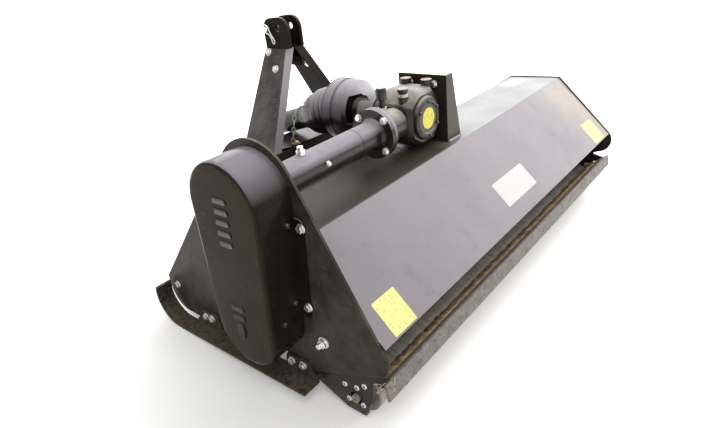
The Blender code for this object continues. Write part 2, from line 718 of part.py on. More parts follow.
def hammer_places():
    """The x of each hammer, and the angle that it stands at: four rows, a quarter turn apart."""
    for index in range(HAMMERS):
        x = (index - (HAMMERS - 1) / 2) * HAMMER_PITCH
        yield x, index * 90.0 + (index // 4) * 6.0


def spoke(x, angle, radius, sideways):
    """A point at a radius from the rotor's axis, moved sideways across the spoke."""
    turn = math.radians(angle)
    y = ROTOR_Y + radius * math.cos(turn) - sideways * math.sin(turn)
    z = ROTOR_Z + radius * math.sin(turn) + sideways * math.cos(turn)
    return (x, y, z)


def make_rotor():
    profile = spindle_drum(DRUM_RADIUS, DRUM_WALL, DRUM_END, 0.012, SHAFT_RADIUS, 0.006, SHAFT_TIPS)
    rotor = turned("rotor", profile, (ROTOR_Y, ROTOR_Z), "X", worn_steel, 24, True)
    lug_shape = [(DRUM_RADIUS - 0.004, -0.030)] + arc((BOLT_PLACE, 0.0), 0.020, -75, 75, 4)
    lug_shape += [(DRUM_RADIUS - 0.004, 0.030)]
    lugs, bolts, hammers = [], [], []
    for x, angle in hammer_places():
        for sign in (-1, 1):
            near, far = x + sign * LUG_INNER, x + sign * (LUG_INNER + LUG_SHEET)
            rings = [[spoke(at, angle, radius, side) for radius, side in lug_shape] for at in (near, far)]
            lugs.append((rings, False))
        rings = []
        for radius, half, thick in HAMMER_SECTIONS:
            corners = ((-half, -thick), (half, -thick), (half, thick), (-half, thick))
            rings.append([spoke(x + along_x, angle, radius, side) for along_x, side in corners])
        hammers.append((rings, False))
        rings = []
        for at, radius in ((-BOLT_REACH, BOLT_RADIUS), (BOLT_REACH, BOLT_RADIUS)):
            shank = arc((0, 0), radius, 0, 360, 6)[1:]
            rings.append([spoke(x + at, angle, BOLT_PLACE + u, v) for u, v in shank])
        bolts.append((rings, False))
    for name, bodies in (("rotor_lugs", lugs), ("hammers", hammers), ("hammer_bolts", bolts)):
        combine(rotor, lofts(name, bodies, worn_steel), "UNION")


def make_rotor_bearing():
    face = HALF_WIDTH + GAP
    profile = ((face, 0.078), (face + 0.010, 0.078), (face + 0.013, 0.056), (face + 0.030, 0.052),
               (face + 0.044, 0.044), (face + 0.044, 0.010), (face + 0.038, 0.010),
               (face + 0.038, SHAFT_HOLE), (face, SHAFT_HOLE))
    turned("rotor_bearing_right", profile, (ROTOR_Y, ROTOR_Z), "X", cast_paint, 32, True)


# Front curtain: rubber flaps clamped to the hood's front flange

FLAPS = 12
FLAP_SHEET = 0.006
FLAP_LOW, FLAP_ROOT, FLAP_HIGH = 0.045, 0.150, 0.192
SLIT = 0.003


def make_curtain():
    face = HOOD_LINE[-1][0] + GAP
    half = INNER_WIDTH - 0.006
    pitch = 2 * half / FLAPS
    outline = [(half, FLAP_HIGH), (-half, FLAP_HIGH), (-half, FLAP_LOW)]
    for index in range(1, FLAPS):
        slit = -half + index * pitch
        outline += [(slit - SLIT / 2, FLAP_LOW), (slit - SLIT / 2, FLAP_ROOT),
                    (slit + SLIT / 2, FLAP_ROOT), (slit + SLIT / 2, FLAP_LOW)]
    outline.append((half, FLAP_LOW))
    loft("front_curtain", [along(outline, face), along(outline, face + FLAP_SHEET)], curtain_rubber)
    bar = face + FLAP_SHEET + GAP
    outline = ((bar, 0.156), (bar + 0.006, 0.156), (bar + 0.006, 0.188), (bar, 0.188))
    slab("curtain_bar", outline, -half, half, black_paint)


# Guard chain: links from the driveline cover down to an eye on the cross beam

CHAIN_PATH = (                 # x, y, z along the chain
    (-0.2407, 0.3734, 0.6046),
    (-0.286, 0.380, 0.586),
    (-0.299, 0.383, 0.563),
    (-0.307, 0.390, 0.515),
    (-0.309, 0.404, 0.4580),
)
LINK_WIRE = 0.0026
LINK_HALF, LINK_SIDE = 0.0118, 0.0066         # a link's half length and half width
CHAIN_PITCH = 0.0210


def make_chain():
    places = [Vector(point) for point in CHAIN_PATH]
    spans = [(places[index], places[index + 1]) for index in range(len(places) - 1)]
    total = sum((end - start).length for start, end in spans)
    bodies = ([], [])
    count = int(total / CHAIN_PITCH)
    for index in range(count):
        distance = (index + 0.5) * total / count
        for start, end in spans:
            if distance <= (end - start).length:
                break
            distance -= (end - start).length
        way = (end - start).normalized()
        side = way.orthogonal().normalized()
        side.rotate(Matrix.Rotation(math.radians(90 * (index % 2)), 3, way))
        rings = []
        for step in range(8):
            angle = math.tau * (step + 0.5) / 8
            reach = way * math.cos(angle) * LINK_HALF + side * math.sin(angle) * LINK_SIDE
            spread = reach.normalized()
            through = way.cross(side)
            middle = start + way * distance + reach
            ring = []
            for corner in range(4):
                turn = math.tau * corner / 4
                ring.append(middle + (spread * math.cos(turn) + through * math.sin(turn)) * LINK_WIRE)
            rings.append(ring)
        bodies[index % 2].append((rings, True))
    chain = lofts("guard_chain", bodies[0], zinc_plate)
    combine(chain, lofts("guard_chain_between", bodies[1], zinc_plate), "UNION")


def lean_and_settle():
    """Lean the machine onto its roller and skids, and put the origin under its middle."""
    rise = (CURL_RADIUS - ROLLER_Z) * -1
    run = CURL_Y - ROLLER_Y
    reach = math.hypot(rise, run)
    lean = math.asin((ROLLER_RADIUS - CURL_RADIUS) / reach) - math.atan2(rise, run)
    for piece in bpy.data.objects:
        if piece.type == "MESH" and piece.parent is None:
            piece.parent = stance
    guides.parent = stance
    stance.rotation_euler = (-lean, 0, 0)
    bpy.context.view_layer.update()
    finished = bpy.context.evaluated_depsgraph_get()
    places = []
    for piece in bpy.data.objects:
        if piece.type == "MESH" and not piece.hide_render:
            shown = piece.evaluated_get(finished)
            places += [shown.matrix_world @ vertex.co for vertex in shown.data.vertices]
    for axis in range(2):
        low = min(place[axis] for place in places)
        high = max(place[axis] for place in places)
        stance.location[axis] = -(low + high) / 2
    stance.location[2] = -min(place[2] for place in places)


make_hood()
for side_name, side_sign in (("left", -1), ("right", 1)):
    make_side_plate(side_name, side_sign)
    make_skid(side_name, side_sign)
    make_roller_bracket(side_name, side_sign)
make_belt_cover()
make_gearbox()
make_plugs()
make_gearbox_bracket()
make_drive_tube()
make_power_take_off()
make_driveline()
make_a_frame()
make_lower_hitch()
make_roller()
make_scraper()
make_rotor()
make_rotor_bearing()
make_curtain()
make_chain()
lean_and_settle()
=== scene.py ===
# Hammer knife mower: paint, bolts, stickers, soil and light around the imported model
import json
import math
import random
import bpy
from mathutils import Matrix, Vector


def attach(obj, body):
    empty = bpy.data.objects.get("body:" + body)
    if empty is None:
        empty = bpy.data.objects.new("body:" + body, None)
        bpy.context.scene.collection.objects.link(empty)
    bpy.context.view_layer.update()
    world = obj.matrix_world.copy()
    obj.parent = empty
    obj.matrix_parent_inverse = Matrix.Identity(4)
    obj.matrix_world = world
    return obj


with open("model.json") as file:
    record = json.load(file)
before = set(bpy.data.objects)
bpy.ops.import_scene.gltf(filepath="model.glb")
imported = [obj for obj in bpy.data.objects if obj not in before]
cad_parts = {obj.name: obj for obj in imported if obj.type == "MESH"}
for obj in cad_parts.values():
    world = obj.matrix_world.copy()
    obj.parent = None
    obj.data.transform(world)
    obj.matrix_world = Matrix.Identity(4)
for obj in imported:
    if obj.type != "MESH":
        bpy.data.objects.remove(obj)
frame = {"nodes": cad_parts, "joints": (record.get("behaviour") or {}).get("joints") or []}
bpy.context.view_layer.update()
scene = bpy.context.scene
cadNodes = frame["nodes"]
random.seed(7)
print("mower loaded:", len(cadNodes), "parts")

# The machine leans a little where it stands, so everything is laid out in its own frame first
machine = {
    "rotorPlace": (0.0, -0.036, 0.210),
    "rollerPlace": (0.0, -0.300, 0.005),
    "halfWidth": 0.8775,             # outer faces of the side plates
    "driveY": -0.057,                # drive tube
    "driveZ": 0.579,
    "tubeRadius": 0.045,
    "linkX": -0.178,                 # middle of the hitch
    "capY": -0.1323,                 # rear face of the gearbox cap
    "capZ": 0.577,
    "rearFold": (-0.176, 0.467),     # y, z where the hood turns down to the rear
    "rearEdge": (-0.421, 0.225),     # y, z of the hood's rear edge
    "topFront": (0.057, 0.459),
}


def jointPlace(name):
    for joint in frame["joints"]:
        if joint["name"] == name:
            return Vector(joint["pos_m"])


rotorWorld, rollerWorld = jointPlace("rotor_spin"), jointPlace("roller_spin")
lineOwn = Vector(machine["rollerPlace"]) - Vector(machine["rotorPlace"])
lineWorld = rollerWorld - rotorWorld
lean = math.atan2(lineWorld.z, lineWorld.y) - math.atan2(lineOwn.z, lineOwn.y)
leanTurn = Matrix.Rotation(lean, 4, "X")
stance = Matrix.Translation(rotorWorld - leanTurn @ Vector(machine["rotorPlace"])) @ leanTurn
print("machine leans", round(math.degrees(lean), 2), "degrees")



# Tools for materials

def linearColour(hexText):
    channels = [int(hexText[at:at + 2], 16) / 255 for at in (1, 3, 5)]
    return tuple(c / 12.92 if c <= 0.04045 else ((c + 0.055) / 1.055) ** 2.4 for c in channels) + (1.0,)


# Settings are the node's own; links feed its sockets, by name or in order, from a node, an output or a value
def addNode(tree, kind, settings=None, links=()):
    node = tree.nodes.new(kind if "Node" in kind else "ShaderNode" + kind)
    for key, value in (settings or {}).items():
        setattr(node, key, value)
    for key, source in links.items() if isinstance(links, dict) else enumerate(links):
        if isinstance(source, bpy.types.Node):
            source = source.outputs[2 if source.bl_idname == "ShaderNodeMix" else 0]
        if isinstance(source, bpy.types.NodeSocket):
            tree.links.new(source, node.inputs[key])
        else:
            isColour = isinstance(source, str) and source.startswith("#")
            node.inputs[key].default_value = linearColour(source) if isColour else source
    return node


product = {"operation": "MULTIPLY", "use_clamp": True}
total = {"operation": "ADD", "use_clamp": True}
greater = {"operation": "MAXIMUM"}
coat = {"data_type": "RGBA"}                               # sockets: 0 mask, 6 under, 7 over


def startFinish(name):
    finish = bpy.data.materials.new(name)
    finish.use_nodes = True
    tree = finish.node_tree
    tree.nodes.clear()
    return finish, tree, addNode(tree, "TexCoord").outputs


# The shader, with its colour built up from coats that each cover what lies under their mask
def endFinish(finish, colour, coats, surface):
    tree = finish.node_tree
    for mask, tint in coats:
        colour = addNode(tree, "Mix", coat, {0: mask, 6: colour, 7: tint})
    shader = addNode(tree, "BsdfPrincipled", {}, {"Base Color": colour, **surface})
    addNode(tree, "OutputMaterial", {}, {"Surface": shader})
    return finish


# Cloudy patches of a size in millimetres: noise cut between two levels, drawn out where it is stretched
def patches(tree, place, millimetres, low, high, detail=4.0, stretch=None):
    where = place["Object"]
    if stretch:
        where = addNode(tree, "Mapping", {}, {"Vector": where, "Scale": stretch})
    noise = addNode(tree, "TexNoise", {}, {"Vector": where, "Scale": 1000 / millimetres,
                                           "Detail": detail, "Roughness": 0.6})
    return addNode(tree, "MapRange", {}, (noise, low, high))


# Baked black enamel on sheet steel: sprayed and stoved, so deep and glossy with dust in the film
def bakedEnamel(name, look):
    finish, tree, place = startFinish(name)
    normal = addNode(tree, "SeparateXYZ", {}, [place["Normal"]]).outputs
    at = addNode(tree, "SeparateXYZ", {}, [place["Object"]]).outputs
    clouds = patches(tree, place, *look["clouds"])
    specks = addNode(tree, "Math", product, (patches(tree, place, *look["specks"]), look["speckAmount"]))
    upward = addNode(tree, "MapRange", {}, (normal["Z"], *look["upward"]))
    dust = addNode(tree, "Math", product, (upward, look["dustAndSheenOnTop"]))
    dust = addNode(tree, "Math", total, (dust, look["dustEverywhere"]))
    dust = addNode(tree, "Math", product, (dust, addNode(tree, "Math", total, (clouds, specks))))
    # the vents' raised faces are lighter: dust, with a painted highlight
    if "proud" in look:                                    # vents stand out of the cover's face
        vents = addNode(tree, "Math", product, (
            addNode(tree, "MapRange", {}, (at["X"], *look["proud"])),
            addNode(tree, "MapRange", {}, (at["Z"], *look["dustAndHighlightVents"]))))
        vents = addNode(tree, "Math", product, (vents, look["ventAmount"]))
        dust = addNode(tree, "Math", total, (dust, vents))
    # painted sky sheen on rear-facing faces, in the dust colour
    if "rearSheen" in look:
        rearward = addNode(tree, "MapRange", {}, (normal["Y"], *look["rearRun"], 0, look["rearSheen"]))
        dust = addNode(tree, "Math", total, (dust, rearward))
    wear = addNode(tree, "Math", product, (patches(tree, place, *look["ticks"]),
                                           patches(tree, place, *look["wornPatches"])))
    wear = addNode(tree, "Math", product, (wear, look["wearAmount"]))
    coats = [(dust, look["dust"]), (wear, look["scratch"])]
    # the cover's outward face tinted brown in cloudy patches
    if "faceBrownCoat" in look:
        facing = addNode(tree, "Math", product, (
            addNode(tree, "MapRange", {}, (normal["X"], *look["faceRun"])),
            addNode(tree, "MapRange", {}, (clouds, 0, 1, *look["faceCover"]))))
        outside = addNode(tree, "MapRange", {}, (at["X"], *look["faceReach"]))
        coats.append((addNode(tree, "Math", product, (facing, outside)), look["faceBrownCoat"]))
    # painted sky sheen on the cover's upward faces
    if "topSheen" in look:
        over = addNode(tree, "MapRange", {}, (normal["Z"], *look["topRun"], 0, look["topCover"]))
        coats.append((over, look["topSheen"]))
    streak = addNode(tree, "Math", product, (patches(tree, place, *look["splashes"]), look["soilReach"]))
    height = addNode(tree, "Math", {"operation": "SUBTRACT"}, (at["Z"], streak))
    soil = addNode(tree, "MapRange", {}, (height, *look["soilFade"]))
    soil = addNode(tree, "Math", product, (soil, patches(tree, place, *look["soilBreaks"])))
    coats.append((soil, look["soil"]))
    dull = addNode(tree, "Math", product, (dust, look["dustDulls"]))
    dull = addNode(tree, "Math", total, (dull, soil))
    peel = addNode(tree, "Math", product, (patches(tree, place, *look["peel"]), look["peelAmount"]))
    crumbs = addNode(tree, "Math", product, (soil, patches(tree, place, *look["crumbs"])))
    relief = addNode(tree, "Math", total, (peel, crumbs))
    return endFinish(finish, look["paint"], coats, {
        "Roughness": addNode(tree, "MapRange", {}, (dull, 0, 1, look["gloss"], look["matt"])),
        "Normal": addNode(tree, "Bump", {}, {"Height": relief, "Strength": look["relief"],
                                             "Distance": look["reliefMm"] / 1000}),
        "Specular IOR Level": look["specular"], "Specular Tint": look["sheen"]})


# A pattern is its size in millimetres, the noise levels it runs between, its detail and its stretch
blackEnamel = {
    "paint": "#231e18", "dust": "#8b8279", "scratch": "#8a8178", "soil": "#6b5b47",
    "gloss": 0.22, "matt": 0.85, "specular": 0.20, "sheen": "#e6d8bd",
    "upward": (0.15, 0.95), "dustAndSheenOnTop": 0.34, "dustEverywhere": 0.09, "dustDulls": 0.5,
    "clouds": (160, 0.35, 0.75), "specks": (9, 0.56, 0.74, 8.0), "speckAmount": 0.6,
    "rearRun": (-0.6, -0.9), "ticks": (2.2, 0.60, 0.66, 3.0, (1.0, 0.06, 1.0)),
    "wornPatches": (130, 0.52, 0.66), "wearAmount": 0.35,
    "splashes": (60, 0.30, 0.62, 6.0), "soilReach": 0.06, "soilFade": (0.03, -0.05),
    "soilBreaks": (14, 0.38, 0.60, 8.0), "crumbs": (5, 0.3, 0.8, 6.0),
    "peel": (6, 0.0, 1.0, 2.0), "peelAmount": 0.05,        # orange peel, drawn coarser to show
    "relief": 0.5, "reliefMm": 1.2,
}
skidEnamel = dict(blackEnamel, paint="#26231e", soil="#5c5444", gloss=0.45, soilReach=0.11,
                  dustEverywhere=0.22, clouds=(16, 0.35, 0.75), splashes=(26, 0.30, 0.62, 6.0))
coverEnamel = dict(blackEnamel, paint="#1c1712", dust="#938c8c", gloss=0.15, specular=0.06, sheen="#e0c898",
                   dustAndSheenOnTop=0.12, dustEverywhere=0.03, clouds=(110, 0.35, 0.75),
                   proud=(-0.9675, -0.9700), dustAndHighlightVents=(0.20, 0.46), ventAmount=0.85, faceBrownCoat="#40331f",
                   faceRun=(-0.6, -0.95), faceCover=(0.25, 0.50), faceReach=(-0.90, -0.95),
                   topSheen="#86828a", topRun=(0.35, 0.90), topCover=0.8)
# near leg: a lighter copy of the enamel, painted sheen with pale rear faces
legEnamelPaintedSheen = dict(blackEnamel, paint="#37332f", dust="#9a959a", rearSheen=0.95, dustEverywhere=0.34)
# far side plate: its top and rear-facing edge painted beige as a highlight
farPlatePaintedHighlight = dict(blackEnamel, dust="#b8ac98", dustEverywhere=0.05, rearSheen=0.95,
                      rearRun=(-0.35, -0.60), dustAndSheenOnTop=1.0)
# a darker copy without dust: painted shade for the far leg and the top link bracket
shadedEnamel = dict(blackEnamel, dustEverywhere=0.0, specular=0.06)
# gearbox bracket: a little painted sheen on its rear faces
bracketEnamel = dict(blackEnamel, rearSheen=0.22, specular=0.10)
plateEnamel = dict(blackEnamel, dust="#80776c", dustEverywhere=0.26, clouds=(90, 0.35, 0.75), gloss=0.40)


# The same enamel on the hood: broad flat panels under a thin pale film of dust, with a painted sky reflection
# over it: the rear panel lighter and warmer towards the far end, the top running from a painted dark
# reflection near to a painted pale one far
def hoodEnamel(name, look):
    finish, tree, place = startFinish(name)
    normal = addNode(tree, "SeparateXYZ", {}, [place["Normal"]]).outputs
    at = addNode(tree, "SeparateXYZ", {}, [place["Object"]]).outputs
    # painted sky reflection on the rear panel: lighter along X, warmer high at the far end
    along = addNode(tree, "MapRange", {}, (at["X"], *look["rearSheenRun"]))
    high = addNode(tree, "Math", {"operation": "ADD"}, (at["X"], at["Z"]))
    high = addNode(tree, "MapRange", {}, (high, *look["warmSheenRun"]))
    smudges = addNode(tree, "Math", product, (patches(tree, place, *look["smudges"]), look["smudgeAmount"]))
    rear = addNode(tree, "Mix", coat, {0: along, 6: look["rearDustAndSheenNear"], 7: look["rearDustAndSheenFar"]})
    rear = addNode(tree, "Mix", coat, {0: high, 6: rear, 7: look["rearWarmSheen"]})
    rear = addNode(tree, "Mix", coat, {0: smudges, 6: rear, 7: look["paint"]})
    # painted reflection on the top: dark at the near end, pale at the far end
    farReflection = addNode(tree, "MapRange", {}, (at["X"], *look["topReflectionRun"]))
    top = addNode(tree, "Mix", coat, {0: farReflection, 6: look["topReflectionNear"], 7: look["topReflectionFar"]})
    rearward = addNode(tree, "MapRange", {}, (normal["Y"], *look["rearward"]))
    topward = addNode(tree, "MapRange", {}, (normal["Z"], *look["topward"]))
    clouds = patches(tree, place, *look["clouds"])
    cleaner = addNode(tree, "Math", product, (clouds, look["cloudAmount"]))
    specks = addNode(tree, "Math", product, (patches(tree, place, *look["specks"]), look["speckAmount"]))
    dull = addNode(tree, "MapRange", {}, (normal["Y"], *look["dullFront"]))
    dull = addNode(tree, "Math", total, (clouds, dull))
    nearTop = addNode(tree, "MapRange", {}, (at["X"], *look["dullRun"], 0, look["dullTop"]))
    nearTop = addNode(tree, "Math", product, (topward, nearTop))
    dull = addNode(tree, "Math", total, (dull, nearTop))
    coats = [(rearward, rear), (topward, top), (cleaner, look["paint"]), (specks, look["dust"])]
    return endFinish(finish, look["paint"], coats, {
        "Roughness": addNode(tree, "MapRange", {}, (dull, 0, 1, look["gloss"], look["dull"])),
        "Normal": addNode(tree, "Bump", {}, {"Height": patches(tree, place, *look["slack"]),
                                             "Strength": look["relief"], "Distance": look["slackMm"] / 1000}),
        "Specular IOR Level": look["specular"]})


hoodLook = {
    "paint": "#2b2725", "rearDustAndSheenNear": "#7b757a", "rearDustAndSheenFar": "#878186", "rearWarmSheen": "#968b83",
    "topReflectionNear": "#3b342e", "topReflectionFar": "#8d8e8e", "dust": "#a39b90", "specular": 0.35,
    "rearward": (-0.35, -0.60), "topward": (0.85, 0.95),
    "rearSheenRun": (-0.85, 0.85), "warmSheenRun": (1.03, 1.22), "topReflectionRun": (-0.14, 0.10),
    "clouds": (170, 0.25, 0.80, 5.0), "cloudAmount": 0.10, "smudges": (70, 0.56, 0.72, 2.0),
    "smudgeAmount": 0.15, "specks": (8, 0.58, 0.74, 8.0), "speckAmount": 0.16,
    "gloss": 0.20, "dull": 0.50, "dullFront": (0.03, 0.25), "dullRun": (0.0, -0.14), "dullTop": 0.9,
    "slack": (260, 0.0, 1.0, 1.0), "slackMm": 2.0, "relief": 0.5,        # slack in the pressed sheet
}


# Grey iron castings: sand cast, sprayed satin black, so the skin is faintly pebbled
def paintedCasting(name, look):
    finish, tree, place = startFinish(name)
    normal = addNode(tree, "SeparateXYZ", {}, [place["Normal"]]).outputs
    clouds = patches(tree, place, *look["clouds"])
    clouds = addNode(tree, "MapRange", {}, (clouds, 0, 1, look["evenness"], 1))
    # pale on upward faces: dust, with a painted sky highlight over it
    upward = addNode(tree, "MapRange", {}, (normal["Z"], *look["upward"], 0, look["dustAndSheenOnTop"]))
    dust = addNode(tree, "Math", product, (upward, clouds))
    pebbles = patches(tree, place, *look["pebbles"])
    return endFinish(finish, look["paint"], [(dust, look["dust"])], {
        "Roughness": addNode(tree, "MapRange", {}, (dust, 0, 1, look["gloss"], look["matt"])),
        "Normal": addNode(tree, "Bump", {}, {"Height": pebbles, "Strength": look["relief"],
                                             "Distance": look["reliefMm"] / 1000}),
        "Specular IOR Level": look["specular"]})


# the gearbox's pale tops are dust with a painted sky highlight
castingLook = {"paint": "#2a2622", "dust": "#beb6ac", "gloss": 0.24, "matt": 0.7, "specular": 0.3,
               "dustAndSheenOnTop": 0.90, "upward": (0.35, 0.95), "evenness": 0.35, "clouds": (45, 0.35, 0.70),
               "pebbles": (4, 0.2, 0.9, 3.0), "relief": 0.7, "reliefMm": 0.5}      # the moulding sand's grain

# Blow moulded polyethylene: the shaft guard, dull with a soft sheen, its upper part pale with dust and a
# painted sky highlight
guardLook = dict(castingLook, paint="#231f1c", dust="#a5a1a7", dustAndSheenOnTop=1.0, upward=(0.05, 0.75),
                 evenness=0.65, clouds=(60, 0.35, 0.70), pebbles=(9, 0.2, 0.9, 3.0))

# Drawn steel tube: smooth enamel, with the same pale film of dust and painted sky highlight lying along its
# upper half
tubeLook = dict(castingLook, paint="#26211c", dust="#949096", dustAndSheenOnTop=1.0, upward=(0.35, 0.72),
                evenness=0.75, clouds=(70, 0.35, 0.70), pebbles=(12, 0.2, 0.9, 3.0))


# Vulcanised rubber sheet: calendered flat, matt and a little dusty
def rubberSheet(name, look):
    finish, tree, place = startFinish(name)
    at = addNode(tree, "SeparateXYZ", {}, [place["Object"]]).outputs
    low = addNode(tree, "MapRange", {}, (at["Z"], *look["lowRun"]))
    low = addNode(tree, "Math", total, (low, look["bloomEverywhere"]))
    bloom = addNode(tree, "Math", product, (patches(tree, place, *look["bloom"]), low))
    cover = addNode(tree, "Math", product, (bloom, look["bloomAmount"]))
    return endFinish(finish, look["rubber"], [(cover, look["dust"])], {
        "Roughness": look["gloss"], "Specular IOR Level": look["specular"],
        "Normal": addNode(tree, "Bump", {}, {"Height": bloom, "Strength": look["relief"],
                                             "Distance": look["reliefMm"] / 1000})})


rubberLook = {"rubber": "#1d1c1c", "dust": "#7d7365", "gloss": 0.7, "specular": 0.3,
              "bloom": (50, 0.35, 0.75), "bloomAmount": 0.5, "bloomEverywhere": 0.6,
              "lowRun": (0.16, 0.05), "relief": 0.4, "reliefMm": 0.6}


# Rolled mild steel, worked in soil: brown crust over dull grey, bright where it rubs
def workedSteel(name, look):
    finish, tree, place = startFinish(name)
    crust = patches(tree, place, *look["crust"])
    rust = patches(tree, place, *look["rusted"])
    crumbs = addNode(tree, "Math", product, (crust, patches(tree, place, *look["crumbs"])))
    return endFinish(finish, look["steel"], [(rust, look["rust"]), (crust, look["soil"])], {
        "Metallic": addNode(tree, "MapRange", {}, (crust, 0, 1, look["metallic"], 0)),
        "Roughness": addNode(tree, "MapRange", {}, (crust, 0, 1, look["gloss"], look["matt"])),
        "Normal": addNode(tree, "Bump", {}, {"Height": crumbs, "Strength": look["relief"],
                                             "Distance": look["reliefMm"] / 1000})})


# the roller's steel, rust and soil are painted pale, a painted lift for the shade it sits in under the hood
rollerLook = {"steel": "#857e75", "rust": "#aaa297", "soil": "#b0a598", "gloss": 0.36, "matt": 0.9,
              "metallic": 0.0, "crust": (9, 0.60, 0.76, 7.0), "crumbs": (7, 0.3, 0.8, 8.0),
              "relief": 0.8, "reliefMm": 2.5,
              "rusted": (9, 0.42, 0.66, 6.0, (1.0, 0.12, 0.12))}           # scratched round, as it rolls
rotorLook = dict(rollerLook, steel="#4a4643", rust="#5e4433", soil="#5d4d3a", gloss=0.45, metallic=0.5,
                 crust=(30, 0.50, 0.66, 7.0), rusted=(25, 0.42, 0.66, 6.0))
shaftLook = dict(rollerLook, steel="#8d8a86", rust="#6e5138", soil="#5b5048", gloss=0.35, metallic=0.9,
                 crust=(30, 0.66, 0.82, 7.0), rusted=(18, 0.42, 0.66, 6.0))
scraperLook = dict(rollerLook, steel="#6a645f", rust="#7d766f", soil="#5c544a", gloss=0.55,
                   crust=(14, 0.54, 0.70, 7.0), rusted=(25, 0.42, 0.66, 6.0))

# Dried soil: fine grained, dull all over
soilLook = dict(rollerLook, steel="#8a7350", rust="#a68d64", soil="#bfa379", gloss=0.9,
                crust=(16, 0.40, 0.56, 7.0), rusted=(12, 0.42, 0.66, 6.0))


# Bright zinc plate, barrel plated: clean grey metal with a soft cloudy bloom
def zincPlate(name, look):
    finish, tree, place = startFinish(name)
    bloom = patches(tree, place, *look["bloom"])
    return endFinish(finish, look["bright"], [(bloom, look["dull"])], {
        "Roughness": addNode(tree, "MapRange", {}, (bloom, 0, 1, look["gloss"], look["matt"])),
        "Metallic": 1.0})


zincLook = {"bright": "#f0eee9", "dull": "#c9c5bd", "bloom": (9, 0.35, 0.70), "gloss": 0.26, "matt": 0.55}
brassLook = dict(zincLook, bright="#c4ae80", dull="#9c8b68", gloss=0.28)
baseLook = dict(zincLook, bright="#c3bdaa", dull="#8f8975", gloss=0.30)


# Printed vinyl film: flat colour, edges lifting dust, small scuffs
def vinylFilm(name, look):
    finish, tree, place = startFinish(name)
    fade = addNode(tree, "Math", product, (patches(tree, place, *look["fade"]), look["fadeAmount"]))
    scuff = addNode(tree, "Math", product, (patches(tree, place, *look["scuffs"]), look["scuffAmount"]))
    return endFinish(finish, look["film"], [(fade, look["faded"]), (scuff, look["scuff"])], {
        "Roughness": look["gloss"], "Specular IOR Level": look["specular"]})


yellowFilm = {"film": "#dfd67c", "faded": "#e6df95", "scuff": "#857d55", "gloss": 0.38, "specular": 0.5,
              "fade": (60, 0.3, 0.8), "fadeAmount": 0.5, "scuffs": (9, 0.50, 0.66, 8.0), "scuffAmount": 0.45}
discFilm = dict(yellowFilm, film="#d8cd35", faded="#dfd54a", scuff="#5f5a20")
whiteFilm = dict(yellowFilm, film="#bcbab6", faded="#c6c4c1", scuff="#b8b6b2", scuffs=(12, 0.50, 0.66, 8.0),
                 scuffAmount=0.20)

# The same pebbled skin in other colours: near black for recesses and seams and painted shade in the bolt
# sockets, a moulded plug cap, a weld painted pale as a highlight, dry grass, a chain painted pale as a
# painted reflection of its zinc, a flange rim with a painted highlight on top, a tie wire painted near white
# as a highlight and a scratch through to the primer
darkLook = dict(castingLook, paint="#0f0e0e", dustAndSheenOnTop=0.1)
plugLook = dict(castingLook, dustAndSheenOnTop=0.25, gloss=0.16)
weldHighlightLook = dict(castingLook, paint="#8f8b8e", dust="#c9c6c8", gloss=0.35)
strawLook = dict(castingLook, paint="#c9bc9e", dust="#ded4bd", gloss=0.7)
chainReflectionLook = dict(castingLook, paint="#b9b5ad", dust="#d9d6d0", gloss=0.30)
rimSheenLook = dict(tubeLook, dust="#a8a4a8", upward=(-0.05, 0.60))
wireHighlightLook = dict(castingLook, paint="#e9e6e2", dust="#f2f0ec", gloss=0.4)
scratchLook = dict(castingLook, paint="#5e5446", dust="#5e5446", gloss=0.5)

finishes = {
    "enamel": bakedEnamel("bakedBlackEnamel", blackEnamel),
    "skid": bakedEnamel("scouredSkidEnamel", skidEnamel),
    "cover": bakedEnamel("pressedCoverEnamel", coverEnamel),
    "hood": hoodEnamel("hoodEnamelPaintedSheen", hoodLook),
    "casting": paintedCasting("paintedGreyIron", castingLook),
    "guard": paintedCasting("mouldedPolyethylene", guardLook),
    "rubber": rubberSheet("calenderedRubber", rubberLook),
    "roller": workedSteel("soiledRollerSteel", rollerLook),
    "rotor": workedSteel("wornRotorSteel", rotorLook),
    "shaft": workedSteel("machinedShaftSteel", shaftLook),
    "scraper": workedSteel("scouredScraperSteel", scraperLook),
    "zinc": zincPlate("brightZincPlate", zincLook),
    "brass": zincPlate("turnedBrass", brassLook),
    "plugBase": zincPlate("dulledZincBase", baseLook),
    "yellow": vinylFilm("yellowVinylFilm", yellowFilm),
    "disc": vinylFilm("yellowDiscFilm", discFilm),
    "white": vinylFilm("whiteVinylFilm", whiteFilm),
    "tube": paintedCasting("enamelledTube", tubeLook),
    "leg": bakedEnamel("legEnamelPaintedSheen", legEnamelPaintedSheen),
    "shaded": bakedEnamel("shadedBlackEnamel", shadedEnamel),
    "farPlate": bakedEnamel("farPlatePaintedHighlight", farPlatePaintedHighlight),
    "bracket": bakedEnamel("bracketEnamel", bracketEnamel),
    "scratch": paintedCasting("scratchedEnamel", scratchLook),
    "wire": paintedCasting("tieWirePaintedHighlight", wireHighlightLook),
    "chain": paintedCasting("chainPaintedReflection", chainReflectionLook),
    "rim": paintedCasting("flangeRimPaintedSheen", rimSheenLook),
    "plate": bakedEnamel("dustySidePlate", plateEnamel),
    "dark": paintedCasting("nearBlackAndSocketShade", darkLook),
    "plug": paintedCasting("mouldedPlugCap", plugLook),
    "pale": paintedCasting("weldPaintedHighlight", weldHighlightLook),
    "straw": paintedCasting("dryGrassBlade", strawLook),
    "soil": workedSteel("driedSoil", soilLook),
}
slotFinish = {
    "black_paint": "enamel", "hood_paint": "hood", "cast_paint": "casting", "guard_plastic": "guard",
    "curtain_rubber": "rubber", "scraper_steel": "scraper", "worn_steel": "roller", "zinc_plate": "zinc",
}
